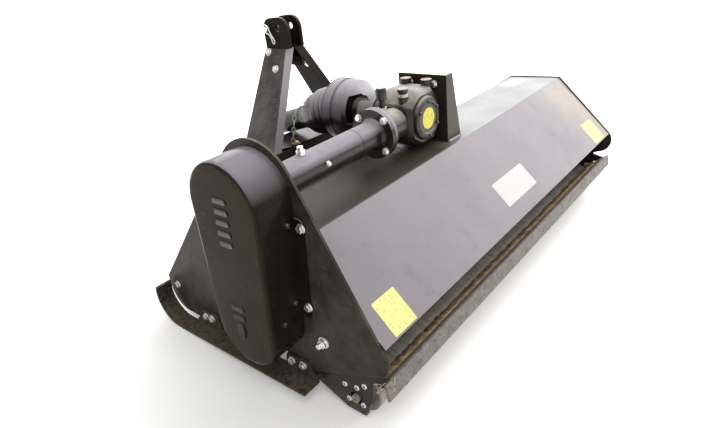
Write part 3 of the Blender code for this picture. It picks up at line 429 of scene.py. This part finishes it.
nodeFinish = {                       # where a part's finish isn't its slot's usual one
    "skid_left": "skid", "skid_right": "skid", "belt_cover": "cover", "rotor": "rotor",
    "input_shaft": "shaft", "driveline_shaft": "shaft", "drive_tube": "tube",
    "a_frame_leg_left": "leg", "side_plate_left": "plate", "side_plate_right": "farPlate",
    "gearbox_filler": "plug", "gearbox_breather": "plug", "a_frame_leg_right": "shaded",
    "top_link_bracket": "shaded", "guard_chain": "chain", "gearbox_bracket": "bracket",
}
print("finishes made:", len(finishes))


# Soft edges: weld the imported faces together, shade them by angle, then round the sheet edges
edgeWork = {"sharpAngle": 32, "noAngle": 181, "weldMm": 0.01, "bevelMm": 0.9, "bevelSteps": 2}
bevelled = ("side_plate_left", "side_plate_right", "a_frame_leg_left", "a_frame_leg_right",
            "gearbox_bracket", "hitch_beam", "scraper_bar", "gearbox_case", "roller_bracket_left",
            "roller_bracket_right", "skid_left", "skid_right", "top_link_bracket", "curtain_bar",
            "lower_link_plate_left_inner", "lower_link_plate_left_outer",
            "lower_link_plate_right_inner", "lower_link_plate_right_outer")


def weldGroup(name, sharpDegrees):
    group = bpy.data.node_groups.new(name, "GeometryNodeTree")
    for way in ("INPUT", "OUTPUT"):
        group.interface.new_socket("Geometry", in_out=way, socket_type="NodeSocketGeometry")
    packed = addNode(group, "NodeGroupInput")
    merged = addNode(group, "GeometryNodeMergeByDistance", {},
                     {0: packed, "Distance": edgeWork["weldMm"] / 1000})
    bare = addNode(group, "GeometryNodeRemoveAttribute", {}, {0: merged, "Name": "custom_normal"})
    smooth = addNode(group, "GeometryNodeSetShadeSmooth", {}, [bare])
    angle = addNode(group, "GeometryNodeInputMeshEdgeAngle")
    sharp = addNode(group, "FunctionNodeCompare", {"operation": "GREATER_THAN"},
                    (angle, math.radians(sharpDegrees)))
    crease = addNode(group, "GeometryNodeSetShadeSmooth", {"domain": "EDGE"},
                     {0: smooth, "Selection": sharp, "Shade Smooth": False})
    addNode(group, "NodeGroupOutput", {}, [crease])
    return group


creased = weldGroup("weldAndCrease", edgeWork["sharpAngle"])
rounded = weldGroup("weldAndRound", edgeWork["noAngle"])
for name, node in cadNodes.items():
    usual = slotFinish[node.data.materials[0].name.split(".")[0]]
    node.data.materials[0] = finishes[nodeFinish.get(name, usual)]
    node.modifiers.new("weld", "NODES").node_group = rounded if name in bevelled else creased
    if name in bevelled:
        edge = node.modifiers.new("softEdge", "BEVEL")
        edge.width = edgeWork["bevelMm"] / 1000
        edge.segments = edgeWork["bevelSteps"]
        edge.limit_method = "ANGLE"
        edge.angle_limit = math.radians(edgeWork["sharpAngle"])
        edge.harden_normals = True
    else:
        flat = node.modifiers.new("flatFaces", "WEIGHTED_NORMAL")
        flat.keep_sharp = True
print("finishes on the packed parts")


# Tools for small pieces: each part is (points, faces) in the machine's frame

# Faces of a closed skin over rings of points that lie one above the other
def skinFaces(rings, sides):
    faces = []
    for low in range(0, (rings - 1) * sides, sides):
        for step in range(sides):
            after = (step + 1) % sides
            faces.append((low + step, low + after, low + sides + after, low + sides + step))
    return faces + [tuple(reversed(range(sides))), tuple(range((rings - 1) * sides, rings * sides))]


def turnedPart(profile, steps):
    points = []
    for along, radius in profile:
        for step in range(steps):
            angle = math.tau * (step + 0.5) / steps
            points.append(Vector((radius * math.cos(angle), radius * math.sin(angle), along)))
    return points, skinFaces(len(profile), steps)


def placed(part, where, toward, spin=0.0):
    turnTo = Vector(toward).to_track_quat("Z", "Y").to_matrix().to_4x4() @ Matrix.Rotation(spin, 4, "Z")
    move = Matrix.Translation(Vector(where)) @ turnTo
    return [move @ point for point in part[0]], part[1]


# A closed outline of (radius, height) points swept round into a ring
def ringPart(outline, steps):
    points, faces = [], []
    sides = len(outline)
    for step in range(steps):
        angle = math.tau * step / steps
        points += [Vector((r * math.cos(angle), r * math.sin(angle), up)) for r, up in outline]
        low, high = step * sides, (step + 1) % steps * sides
        faces += [(low + k, high + k, high + (k + 1) % sides, low + (k + 1) % sides) for k in range(sides)]
    return points, faces


def ringAround(where, toward, radius, wire, steps=48):
    outline = [(radius + across, up) for across, up in onRing(wire, range(0, 360, 60))]
    return placed(ringPart(outline, steps), where, toward)


def onRing(radius, degrees):
    turns = [math.radians(turn) for turn in degrees]
    return [(radius * math.cos(turn), radius * math.sin(turn)) for turn in turns]


def joined(parts):
    points, faces = [], []
    for partPoints, partFaces in parts:
        faces += [tuple(index + len(points) for index in face) for face in partFaces]
        points += partPoints
    return points, faces


def filmPart(corners, lift, thick):
    normal = (corners[1] - corners[0]).cross(corners[-1] - corners[0]).normalized()
    count = len(corners)
    points = [corner + normal * lift for corner in corners]
    points += [corner + normal * (lift + thick) for corner in corners]
    faces = [tuple(reversed(range(count))), tuple(range(count, 2 * count))]
    faces += [(at, (at + 1) % count, count + (at + 1) % count, count + at) for at in range(count)]
    return points, faces


def wirePart(path, radius, sides=8, ripple=0.0, rippleStep=1.0):
    points = []
    side = (path[1] - path[0]).orthogonal().normalized()
    travelled = 0.0
    for index, place in enumerate(path):
        before, after = path[max(index - 1, 0)], path[min(index + 1, len(path) - 1)]
        way = (after - before).normalized()
        side = (side - way * side.dot(way)).normalized()
        other = way.cross(side)
        travelled += (place - before).length
        size = radius * (1 + ripple * math.sin(math.tau * travelled / rippleStep))
        for step in range(sides):
            angle = math.tau * step / sides
            points.append(place + side * (size * math.cos(angle)) + other * (size * math.sin(angle)))
    return points, skinFaces(len(path), sides)


def addPiece(name, parts, finish, body="frame", sharpDegrees=edgeWork["sharpAngle"]):
    points, faces = joined(parts)
    mesh = bpy.data.meshes.new(name)
    mesh.from_pydata([stance @ Vector(point) for point in points], [], faces)
    mesh.shade_smooth()
    mesh.set_sharp_from_angle(angle=math.radians(sharpDegrees))
    piece = bpy.data.objects.new(name, mesh)
    scene.collection.objects.link(piece)
    mesh.materials.append(finishes[finish])
    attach(piece, body)


# Hexagon bolts, zinc plated: a washer, a chamfered head and sometimes a threaded end
boltShape = {"washerThick": 0.2, "washerWide": 1.22, "washerTop": 1.16, "headTall": 0.72,      # of its size
             "headFoot": 0.96, "headTop": 0.84, "threadOut": 0.55, "threadIn": 0.49, "pitchMm": 1.5}


def hexBolt(where, toward, size, washer=True, thread=0.0):
    shape = {key: size * share for key, share in boltShape.items()}
    thick = shape["washerThick"] if washer else 0.0
    tall = shape["headTall"]
    spin = random.uniform(0, math.pi / 3)
    parts = []
    if washer:
        wide = shape["washerWide"]
        parts.append(turnedPart([(0, wide), (thick * 0.8, wide), (thick, shape["washerTop"])], 24))
    parts.append(turnedPart([(thick, shape["headFoot"]), (thick + tall * 0.12, size),
                             (thick + tall * 0.8, size), (thick + tall, shape["headTop"])], 6))
    if thread:
        turns = [(thick + tall - 0.001, size * 0.50)]
        pitch = boltShape["pitchMm"] / 1000
        for step in range(int(thread / pitch + 0.01)):
            along = thick + tall + step * pitch
            turns += [(along, shape["threadOut"]), (along + 0.0008, shape["threadIn"])]
        parts.append(turnedPart(turns, 12))
    return placed(joined(parts), where, toward, spin)


plateBolts = {
    "size": 0.0115,
    "onPlate": ((0.482, 0.120),),                    # y, z
    "onLugs": ((0.302, 0.047), (0.336, 0.044), (-0.076, 0.045), (-0.122, 0.048)),
    "onStrip": ((-0.203, 0.5146), (-0.182, 0.273)),
    "lugFace": 0.8866, "stripFace": 0.8809,
    "adjuster": (-0.214, 0.166),                      # big nut with its thread standing out
    "adjusterSize": 0.0150, "adjusterThread": 0.012, "lugShare": 0.95,
}
half = machine["halfWidth"]
bolts = []
for sign in (-1, 1):
    out = (sign, 0, 0)
    for y, z in plateBolts["onPlate"]:
        bolts.append(hexBolt((sign * half, y, z), out, plateBolts["size"]))
    for y, z in plateBolts["onLugs"]:
        bolts.append(hexBolt((sign * plateBolts["lugFace"], y, z), out,
                             plateBolts["size"] * plateBolts["lugShare"]))
    y, z = plateBolts["adjuster"]
    bolts.append(hexBolt((sign * half, y, z), out, plateBolts["adjusterSize"], True,
                         plateBolts["adjusterThread"]))
for y, z in plateBolts["onStrip"]:
    bolts.append(hexBolt((-plateBolts["stripFace"], y, z), (-1, 0, 0), plateBolts["size"]))
addPiece("plateBolts", bolts, "zinc")

legBolts = {
    "size": 0.0115,
    "places": ((0.541, 0.0530, 0.7835), (0.4815, 0.0846, 0.7285)),      # y, outward of the hitch, z
    "slope": (0.867, 0.498),                          # outward, up: square to the leg's sheet
    "inner": (-0.0930, 0.4775, 0.7150),                # a nut inside the far leg
}
bolts = []
for sign in (-1, 1):
    outward, up = legBolts["slope"]
    for y, reach, z in legBolts["places"]:
        where = Vector((machine["linkX"] + sign * reach, y, z))
        bolts.append(hexBolt(where, (sign * outward, 0, up), legBolts["size"]))
bolts.append(hexBolt(legBolts["inner"], (-outward, 0, -up), legBolts["size"]))
addPiece("legBolts", bolts, "zinc")

flangeBolts = {"size": 0.0105, "ring": 0.0685, "faceX": -0.392, "angles": (45, 135, 225, 315)}
bolts = [hexBolt((flangeBolts["faceX"], machine["driveY"] + y, machine["driveZ"] + z), (-1, 0, 0),
                 flangeBolts["size"]) for y, z in onRing(flangeBolts["ring"], flangeBolts["angles"])]
addPiece("flangeBolts", bolts, "zinc")

bracketBolts = {"size": 0.0110, "faceX": -0.0887, "places": ((-0.003, 0.669), (-0.099, 0.667))}
addPiece("bracketBolts", [hexBolt((bracketBolts["faceX"], y, z), (-1, 0, 0), bracketBolts["size"])
                          for y, z in bracketBolts["places"]], "zinc")

capParts = {"boltSize": 0.0052, "boltRing": 0.0575, "angles": (30, 90, 150, 210, 270, 330),
            "disc": 0.0355, "discThick": 0.0006, "discY": -0.1293}
bolts = [hexBolt((machine["linkX"] + x, machine["capY"], machine["capZ"] + z), (0, -1, 0),
                 capParts["boltSize"], False) for x, z in onRing(capParts["boltRing"], capParts["angles"])]
addPiece("capBolts", bolts, "casting")
disc = turnedPart([(0, capParts["disc"]), (capParts["discThick"], capParts["disc"])], 48)
addPiece("capDisc", [placed(disc, (machine["linkX"], capParts["discY"], machine["capZ"]), (0, -1, 0))],
         "disc")

rollerBolts = {
    "size": 0.0085, "faceX": 0.8692,
    "places": ((-0.265, 0.040), (-0.308, 0.047), (-0.336, 0.066), (-0.3245, -0.008), (-0.2745, -0.008)),
    "insideX": 0.8589, "inside": ((-0.336, 0.066),),  # a nut that shows past the roller
    "head": ((0, 1), (0.35, 1), (0.55, 0.82), (0.55, 0.5), (0.20, 0.5)),      # height, radius: of its size
    "socket": ((0.20, 0.5), (0.24, 0.48)),
}
bolts, sockets = [], []
size = rollerBolts["size"]
head = turnedPart([(size * up, size * out) for up, out in rollerBolts["head"]], 20)
# the sockets are thin near black discs on the heads: painted shade for their hex recess
socket = turnedPart([(size * up, size * out) for up, out in rollerBolts["socket"]], 6)
for sign in (-1, 1):
    for y, z in rollerBolts["places"]:
        bolts.append(placed(head, (sign * rollerBolts["faceX"], y, z), (sign, 0, 0)))
        sockets.append(placed(socket, (sign * rollerBolts["faceX"], y, z), (sign, 0, 0)))
    for y, z in rollerBolts["inside"]:
        bolts.append(hexBolt((sign * rollerBolts["insideX"], y, z), (-sign, 0, 0), size))
addPiece("rollerBolts", bolts, "zinc")
addPiece("rollerBoltSocketShade", sockets, "dark")

barBolts = {"size": 0.0085, "faceY": 0.4827, "z": 0.172, "count": 13, "reach": 0.80}
bolts = []
for index in range(barBolts["count"]):
    x = barBolts["reach"] * (2 * index / (barBolts["count"] - 1) - 1)
    bolts.append(hexBolt((x, barBolts["faceY"], barBolts["z"]), (0, 1, 0), barBolts["size"]))
addPiece("curtainBarBolts", bolts, "zinc")

bearingBolts = {"size": 0.0105, "faceX": 0.8881, "ring": 0.067, "angles": (45, 135, 225, 315)}
middleY, middleZ = machine["rotorPlace"][1:]
bolts = [hexBolt((bearingBolts["faceX"], middleY + y, middleZ + z), (1, 0, 0), bearingBolts["size"], False)
         for y, z in onRing(bearingBolts["ring"], bearingBolts["angles"])]
addPiece("bearingBolts", bolts, "zinc")

coverScrews = {
    "size": 0.0062,
    "onRear": ((-0.903, -0.1786, 0.526), (-0.904, -0.157, 0.2916), (-0.9475, -0.153, 0.2467)),
    "rearNormal": (0, -0.998, -0.055),
}
screws = [hexBolt(where, coverScrews["rearNormal"], coverScrews["size"]) for where in coverScrews["onRear"]]
addPiece("coverScrews", screws, "casting")
tubeNut = {"where": (-0.6557, -0.1015, 0.5855), "size": 0.0085, "thread": 0.006}
addPiece("tubeGreaser", [hexBolt(tubeNut["where"], (0, -1, 0), tubeNut["size"], False, tubeNut["thread"])],
         "zinc")
print("bolts fitted")


# Guard's mounting plate round the gearbox nose, its moulding seams, the flange's rim with a painted highlight
# on top and a paint line
trim = {
    "mountY": 0.1520, "mountThick": 0.004, "mountRadius": 0.0945, "mountBore": 0.0606, "mountSteps": 40,
    "seams": (0.2050, 0.2110, 0.2500), "seamRadius": 0.1121, "seamWire": 0.0009,
    "rimX": -0.3772, "rimWide": 0.0115, "rimRadius": 0.0803, "rimRound": 0.0004,
    "lineX": -0.4900, "lineRadius": 0.0452, "lineWire": 0.0006,
}
bore, outside, thick = trim["mountBore"], trim["mountRadius"], trim["mountThick"]
mount = ringPart([(bore, 0), (outside, 0), (outside, thick), (bore, thick)], trim["mountSteps"])
centre = (machine["linkX"], trim["mountY"], machine["capZ"])
addPiece("guardMount", [placed(mount, centre, (0, 1, 0))], "dark")
seams = [ringAround((machine["linkX"], y, machine["capZ"]), (0, 1, 0), trim["seamRadius"], trim["seamWire"])
         for y in trim["seams"]]
addPiece("guardSeams", seams, "dark")
low, high, wide = trim["rimRadius"] - trim["rimRound"], trim["rimRadius"], trim["rimWide"]
rim = turnedPart([(0, low), (0.001, high), (wide - 0.001, high), (wide, low)], 48)
addPiece("flangeRim", [placed(rim, (trim["rimX"], machine["driveY"], machine["driveZ"]), (1, 0, 0))],
         "rim")
addPiece("tubePaintLine", [ringAround((trim["lineX"], machine["driveY"], machine["driveZ"]), (1, 0, 0),
                                      trim["lineRadius"], trim["lineWire"])], "dark")
eyeNut = {"where": (-0.2850, 0.4075, 0.4493), "toward": (-0.3, -0.4, 0.87), "size": 0.0115, "thread": 0.006}
addPiece("chainEyeNut", [hexBolt(eyeNut["where"], eyeNut["toward"], eyeNut["size"], True, eyeNut["thread"])],
         "brass")
# a tie wire on the hood top, painted near white as a highlight
tieWire = {"radius": 0.0019, "path": ((-0.2480, -0.0116, 0.4680), (-0.2360, -0.0110, 0.4720),
                                      (-0.2200, -0.0220, 0.4720), (-0.2151, -0.0393, 0.4680))}
addPiece("tieWire", [wirePart([Vector(place) for place in tieWire["path"]], tieWire["radius"])],
         "wire")


# Oil filler and breather: hexagon bases under the black caps
plugBases = {"filler": (-0.243, -0.078, 0.6627, 0.0180, 0.009),      # x, y, foot z, radius, height
             "breather": (-0.330, -0.057, 0.6315, 0.0165, 0.018)}
for name, (x, y, foot, radius, tall) in plugBases.items():
    base = turnedPart([(0, radius), (tall * 0.85, radius), (tall, radius * 0.9)], 6)
    addPiece(name + "Base", [placed(base, (x, y, foot), (0, 0, 1))], "plugBase")


# Weld beads: a rippled run along each painted joint
beads = {"radius": 0.0042, "step": 0.003, "ripple": 0.12, "rippleLength": 0.007}


def weldRun(start, end):
    start, end = Vector(start), Vector(end)
    count = max(int((end - start).length / beads["step"]), 2)
    path = [start.lerp(end, index / count) for index in range(count + 1)]
    return wirePart(path, beads["radius"], 8, beads["ripple"], beads["rippleLength"])


def hoodTop(y):
    rear, front = machine["rearFold"], machine["topFront"]
    return rear[1] + (front[1] - rear[1]) * (y - rear[0]) / (front[0] - rear[0])


bracketFoot = {"near": -0.0887, "far": -0.0807, "rear": -0.148, "front": 0.045, "foldEnd": 0.0}
beamWelds = {"top": 0.4492, "rear": 0.398, "front": 0.546, "reach": 0.2453}
near, far, rear, front = (bracketFoot[key] for key in ("near", "far", "rear", "front"))
runs = [weldRun((x, rear, hoodTop(rear)), (x, front, hoodTop(front))) for x in (near, far)]
runs.append(weldRun((near, rear, hoodTop(rear)), (bracketFoot["foldEnd"], rear, hoodTop(rear))))
for sign in (-1, 1):
    foot, top = machine["linkX"] + sign * beamWelds["reach"], beamWelds["top"]
    runs.append(weldRun((foot, beamWelds["rear"], top), (foot, beamWelds["front"], top)))
addPiece("weldBeads", runs, "enamel")

foldSeam = {"fromMm": -864, "toMm": -284, "stepMm": 3, "y": 0.0600, "z": 0.4590, "radius": 0.0060,
            "rippleLength": 0.009}                         # along the front fold
seam = [Vector((x / 1000, foldSeam["y"], foldSeam["z"]))
        for x in range(foldSeam["fromMm"], foldSeam["toMm"], foldSeam["stepMm"])]
addPiece("foldSeam", [wirePart(seam, foldSeam["radius"], 8, beads["ripple"], foldSeam["rippleLength"])],
         "enamel")

# the bracket foot's weld, painted pale as a highlight
footWeld = {"from": -0.0820, "to": -0.0100, "y": -0.1495}
footRun = weldRun((footWeld["from"], footWeld["y"], hoodTop(footWeld["y"])),
                  (footWeld["to"], footWeld["y"], hoodTop(footWeld["y"])))
addPiece("footWeld", [footRun], "pale")

tubeWeld = {"x": -0.868, "radius": 0.0045, "steps": 48}
turns = [360 * step / tubeWeld["steps"] for step in range(tubeWeld["steps"] + 1)]
path = [Vector((tubeWeld["x"], machine["driveY"] + y, machine["driveZ"] + z))
        for y, z in onRing(machine["tubeRadius"], turns)]
addPiece("tubeWeld", [wirePart(path, tubeWeld["radius"], 8, beads["ripple"], beads["rippleLength"])],
         "enamel")
print("welds laid")


# Stickers: plain vinyl on the rear panel and the top, with nothing printed on them
stickers = {
    "lift": 0.0001, "thick": 0.0005, "corner": 0.004, "cornerSteps": 4,
    "onRear": {                        # x from and to, then distance up the slope from its edge
        "nearSticker": (-0.8190, -0.7235, 0.0050, 0.1080, "yellow"),
        "farSticker": (0.7070, 0.8155, 0.0060, 0.1100, "yellow"),
        "blankPlate": (-0.0910, 0.1400, 0.0557, 0.1510, "white"),
    },
    "onTop": {"topSticker": (0.6790, 0.8150, -0.0450, 0.0320, "white")},      # x, then y
}


def roundCorners(corners, radius):
    outline = []
    for index, corner in enumerate(corners):
        before, after = corners[index - 1], corners[(index + 1) % len(corners)]
        fromWay, toWay = (before - corner).normalized(), (after - corner).normalized()
        middle = corner + (fromWay + toWay) * radius
        for step in range(stickers["cornerSteps"] + 1):
            angle = math.pi / 2 * step / stickers["cornerSteps"]
            outline.append(middle - toWay * (radius * math.cos(angle)) - fromWay * (radius * math.sin(angle)))
    return outline


edge, fold = Vector((0, *machine["rearEdge"])), Vector((0, *machine["rearFold"]))
slope = (fold - edge).normalized()
for name, (left, right, low, high, finish) in stickers["onRear"].items():
    corners = [edge + slope * up + Vector((x, 0, 0))
               for x, up in ((left, low), (right, low), (right, high), (left, high))]
    outline = roundCorners(corners, stickers["corner"])
    addPiece(name, [filmPart(outline, stickers["lift"], stickers["thick"])], finish)
for name, (left, right, rear, front, finish) in stickers["onTop"].items():
    corners = [Vector((x, y, hoodTop(y)))
               for x, y in ((left, rear), (right, rear), (right, front), (left, front))]
    outline = roundCorners(corners, stickers["corner"])
    addPiece(name, [filmPart(outline, stickers["lift"], stickers["thick"])], finish)
print("stickers on")


# Top link pin's spring clip, bent from one wire
clip = {"wire": 0.0022, "pinX": -0.229, "pinY": 0.542, "pinZ": 0.865,
        "path": ((0.016, 0.012), (0.010, 0.018), (0.001, 0.019), (-0.010, 0.014), (-0.017, 0.004),
                 (-0.022, -0.008), (-0.030, -0.022), (-0.038, -0.034), (-0.043, -0.042),
                 (-0.040, -0.050), (-0.033, -0.050), (-0.029, -0.042), (-0.026, -0.030),
                 (-0.018, -0.018), (-0.010, -0.014), (0.0, -0.0125))}
path = [Vector((clip["pinX"], clip["pinY"] + y, clip["pinZ"] + z)) for y, z in clip["path"]]
addPiece("topPinClip", [wirePart(path, clip["wire"])], "zinc")


# Soil packed along the scraper bar, with a few blades of dry grass caught at its near end
soilBed = {"x": 0.842, "step": 0.006, "low": (-0.3470, 0.0633), "high": (-0.3930, 0.1032),
           "tall": 0.0125, "across": 7, "waves": 8, "waveRates": (60, 55), "roundness": 0.6,
           "least": 0.12, "usual": 0.60, "swell": 0.25, "crumble": 0.40, "endSteps": 4, "sunk": 0.001}


def soilRidge(look):
    points, faces = [], []
    low, high = Vector((0, *look["low"])), Vector((0, *look["high"]))
    up = (high - low).cross(Vector((1, 0, 0))).normalized()
    up = up if up.z > 0 else -up
    count, wide = int(2 * look["x"] / look["step"]), look["across"]
    phases = [random.uniform(0, math.tau) for _ in range(look["waves"])]
    slowest, faster = look["waveRates"]
    for index in range(count + 1):
        x = -look["x"] + 2 * look["x"] * index / count
        wave = sum(math.sin(x * (slowest + faster * k) + phase) for k, phase in enumerate(phases)) / 4
        ends = min(1.0, (count - index) / look["endSteps"], index / look["endSteps"])
        for step in range(wide):
            share = step / (wide - 1)
            crown = math.sin(math.pi * share) ** look["roundness"]
            clod = look["usual"] + look["swell"] * wave + random.uniform(-look["crumble"], look["crumble"])
            tall = look["tall"] * crown * max(look["least"], clod) * ends
            points.append(low.lerp(high, share) + Vector((x, 0, 0)) + up * tall)
    base = len(points)
    for index in range(count + 1):
        x = -look["x"] + 2 * look["x"] * index / count
        for share in (0, 1):
            points.append(low.lerp(high, share) + Vector((x, 0, 0)) - up * look["sunk"])
    for index in range(count):
        for step in range(wide - 1):
            at = index * wide + step
            faces.append((at, at + wide, at + wide + 1, at + 1))
        bottom = base + index * 2
        faces.append((bottom, bottom + 1, bottom + 3, bottom + 2))
        faces.append((index * wide, bottom, bottom + 2, (index + 1) * wide))
        top = index * wide + wide - 1
        faces.append((top, top + wide, bottom + 3, bottom + 1))
    faces.append(tuple(range(wide)) + (base + 1, base))
    last = count * wide
    faces.append(tuple(reversed(range(last, last + wide))) + (base + 2 * count, base + 2 * count + 1))
    return points, faces


addPiece("scraperSoil", [soilRidge(soilBed)], "soil", sharpDegrees=180)
straw = {"blades": 26, "x": (-0.876, -0.850), "y": (-0.424, -0.385), "z": (0.076, 0.114),
         "halfLength": 0.018, "bend": 0.009, "thick": 0.0011}
blades = []
for _ in range(straw["blades"]):
    middle = Vector([random.uniform(*straw[axis]) for axis in ("x", "y", "z")])
    way = Vector([random.uniform(-1, 1) for _ in range(3)]).normalized() * straw["halfLength"]
    bend = Vector([random.uniform(-1, 1) for _ in range(3)]) * straw["bend"]
    path = [middle + way * along + bend * (1 - along * along) for along in (-1, -0.6, -0.2, 0.2, 0.6, 1)]
    blades.append(wirePart(path, straw["thick"], 4))
addPiece("driedGrass", blades, "straw")

# Light scratches across the near side plate
scratchLines = {"x": -0.8776, "wide": 0.0016, "lift": 0.0001, "thick": 0.0003,
                "ends": (((0.2990, 0.3370), (0.3890, 0.2240)), ((0.4290, 0.2430), (0.2890, 0.3018)))}
marks = []
for (startY, startZ), (endY, endZ) in scratchLines["ends"]:
    start, end = Vector((scratchLines["x"], startY, startZ)), Vector((scratchLines["x"], endY, endZ))
    across = (end - start).cross(Vector((1, 0, 0))).normalized() * scratchLines["wide"] / 2
    marks.append(filmPart([start - across, end - across, end + across, start + across],
                          scratchLines["lift"], scratchLines["thick"]))
addPiece("plateScratches", marks, "scratch")
print("soil and clip done")


# Floor, light and camera
studio = {
    "floor": "#f4f3f1", "floorWide": 60, "floorGloss": 0.1, "floorRough": 0.9, "white": "#ffffff",
    "worldStrength": 0.50, "glow": (0.20, 0.95), "glowRun": (1.2, 2.4),       # metres out from the machine
    "boxes": {                                             # place, aim, wide, tall, watts
        "keyBox": ((-2.0, -1.6, 3.6), (0, 0, 0.4), 2.6, 2.6, 45),
        "skyBox": ((3.5, 2.7, 2.3), (0, 0, 0.5), 5.0, 2.6, 110),
        "topBox": ((1.8, 0.4, 3.8), (0, 0, 0.4), 4.6, 4.2, 150),
        "glazeBox": ((2.8, -2.0, 2.2), (0, -0.3, 0.4), 4.8, 2.8, 105),
    },
}


# One for the rays that see the floor and the sky: straight, mirrored or through glass
def seeingRays(tree):
    ray = addNode(tree, "LightPath").outputs
    seen = addNode(tree, "Math", greater, (ray["Is Camera Ray"], ray["Is Glossy Ray"]))
    return addNode(tree, "Math", greater, (seen, ray["Is Transmission Ray"]))


def studioFloor():
    bpy.ops.mesh.primitive_plane_add(size=studio["floorWide"], location=(0, 0, 0))
    ground = bpy.context.object
    ground.name = "studioFloor"
    paper, tree, place = startFinish("paleFloorPaper")
    paint = addNode(tree, "BsdfPrincipled", {}, {
        "Base Color": studio["floor"], "Roughness": studio["floorRough"],
        "Specular IOR Level": studio["floorGloss"]})
    away = addNode(tree, "VectorMath", {"operation": "LENGTH"}, [place["Object"]])
    glow = addNode(tree, "MapRange", {}, (away.outputs["Value"], *studio["glowRun"], *studio["glow"]))
    glow = addNode(tree, "Math", product, (glow, seeingRays(tree)))
    lift = addNode(tree, "Emission", {}, {"Color": studio["white"], "Strength": glow})
    addNode(tree, "OutputMaterial", {}, {"Surface": addNode(tree, "AddShader", {}, (paint, lift))})
    ground.data.materials.append(paper)


def studioWorld():
    world = bpy.data.worlds.new("studioSky")
    world.use_nodes = True
    tree = world.node_tree
    tree.nodes.clear()
    strength = addNode(tree, "MapRange", {}, (seeingRays(tree), 0, 1, studio["worldStrength"], 1))
    sky = addNode(tree, "Background", {}, {"Color": studio["white"], "Strength": strength})
    addNode(tree, "OutputWorld", {}, {"Surface": sky})
    scene.world = world


def softBox(name, where, aim, wide, tall, watts):
    lamp = bpy.data.lights.new(name, "AREA")
    lamp.shape = "RECTANGLE"
    lamp.size, lamp.size_y, lamp.energy = wide, tall, watts
    box = bpy.data.objects.new(name, lamp)
    scene.collection.objects.link(box)
    box.location = where
    box.rotation_euler = (Vector(aim) - Vector(where)).to_track_quat("-Z", "Y").to_euler()


studioFloor()
studioWorld()
for name, settings in studio["boxes"].items():
    softBox(name, *settings)

viewpoint = {
    "place": (-1.6748, -1.0930, 1.1178),
    "right": (0.6235, -0.7748, -0.1036), "up": (0.4032, 0.2051, 0.8918), "ahead": (0.6698, 0.5979, -0.4403),
    "lensMm": 27.69, "sensorMm": 36.0, "nearest": 0.05, "farthest": 100,
}
camera = bpy.data.objects.new("photoCamera", bpy.data.cameras.new("photoCamera"))
scene.collection.objects.link(camera)
camera.data.sensor_width, camera.data.lens = viewpoint["sensorMm"], viewpoint["lensMm"]
axes = Matrix((viewpoint["right"], viewpoint["up"], -Vector(viewpoint["ahead"]))).transposed().to_4x4()
camera.matrix_world = stance @ Matrix.Translation(viewpoint["place"]) @ axes
camera.data.clip_start, camera.data.clip_end = viewpoint["nearest"], viewpoint["farthest"]
scene.camera = camera
scene.view_settings.view_transform = "Standard"
print("light and camera set")
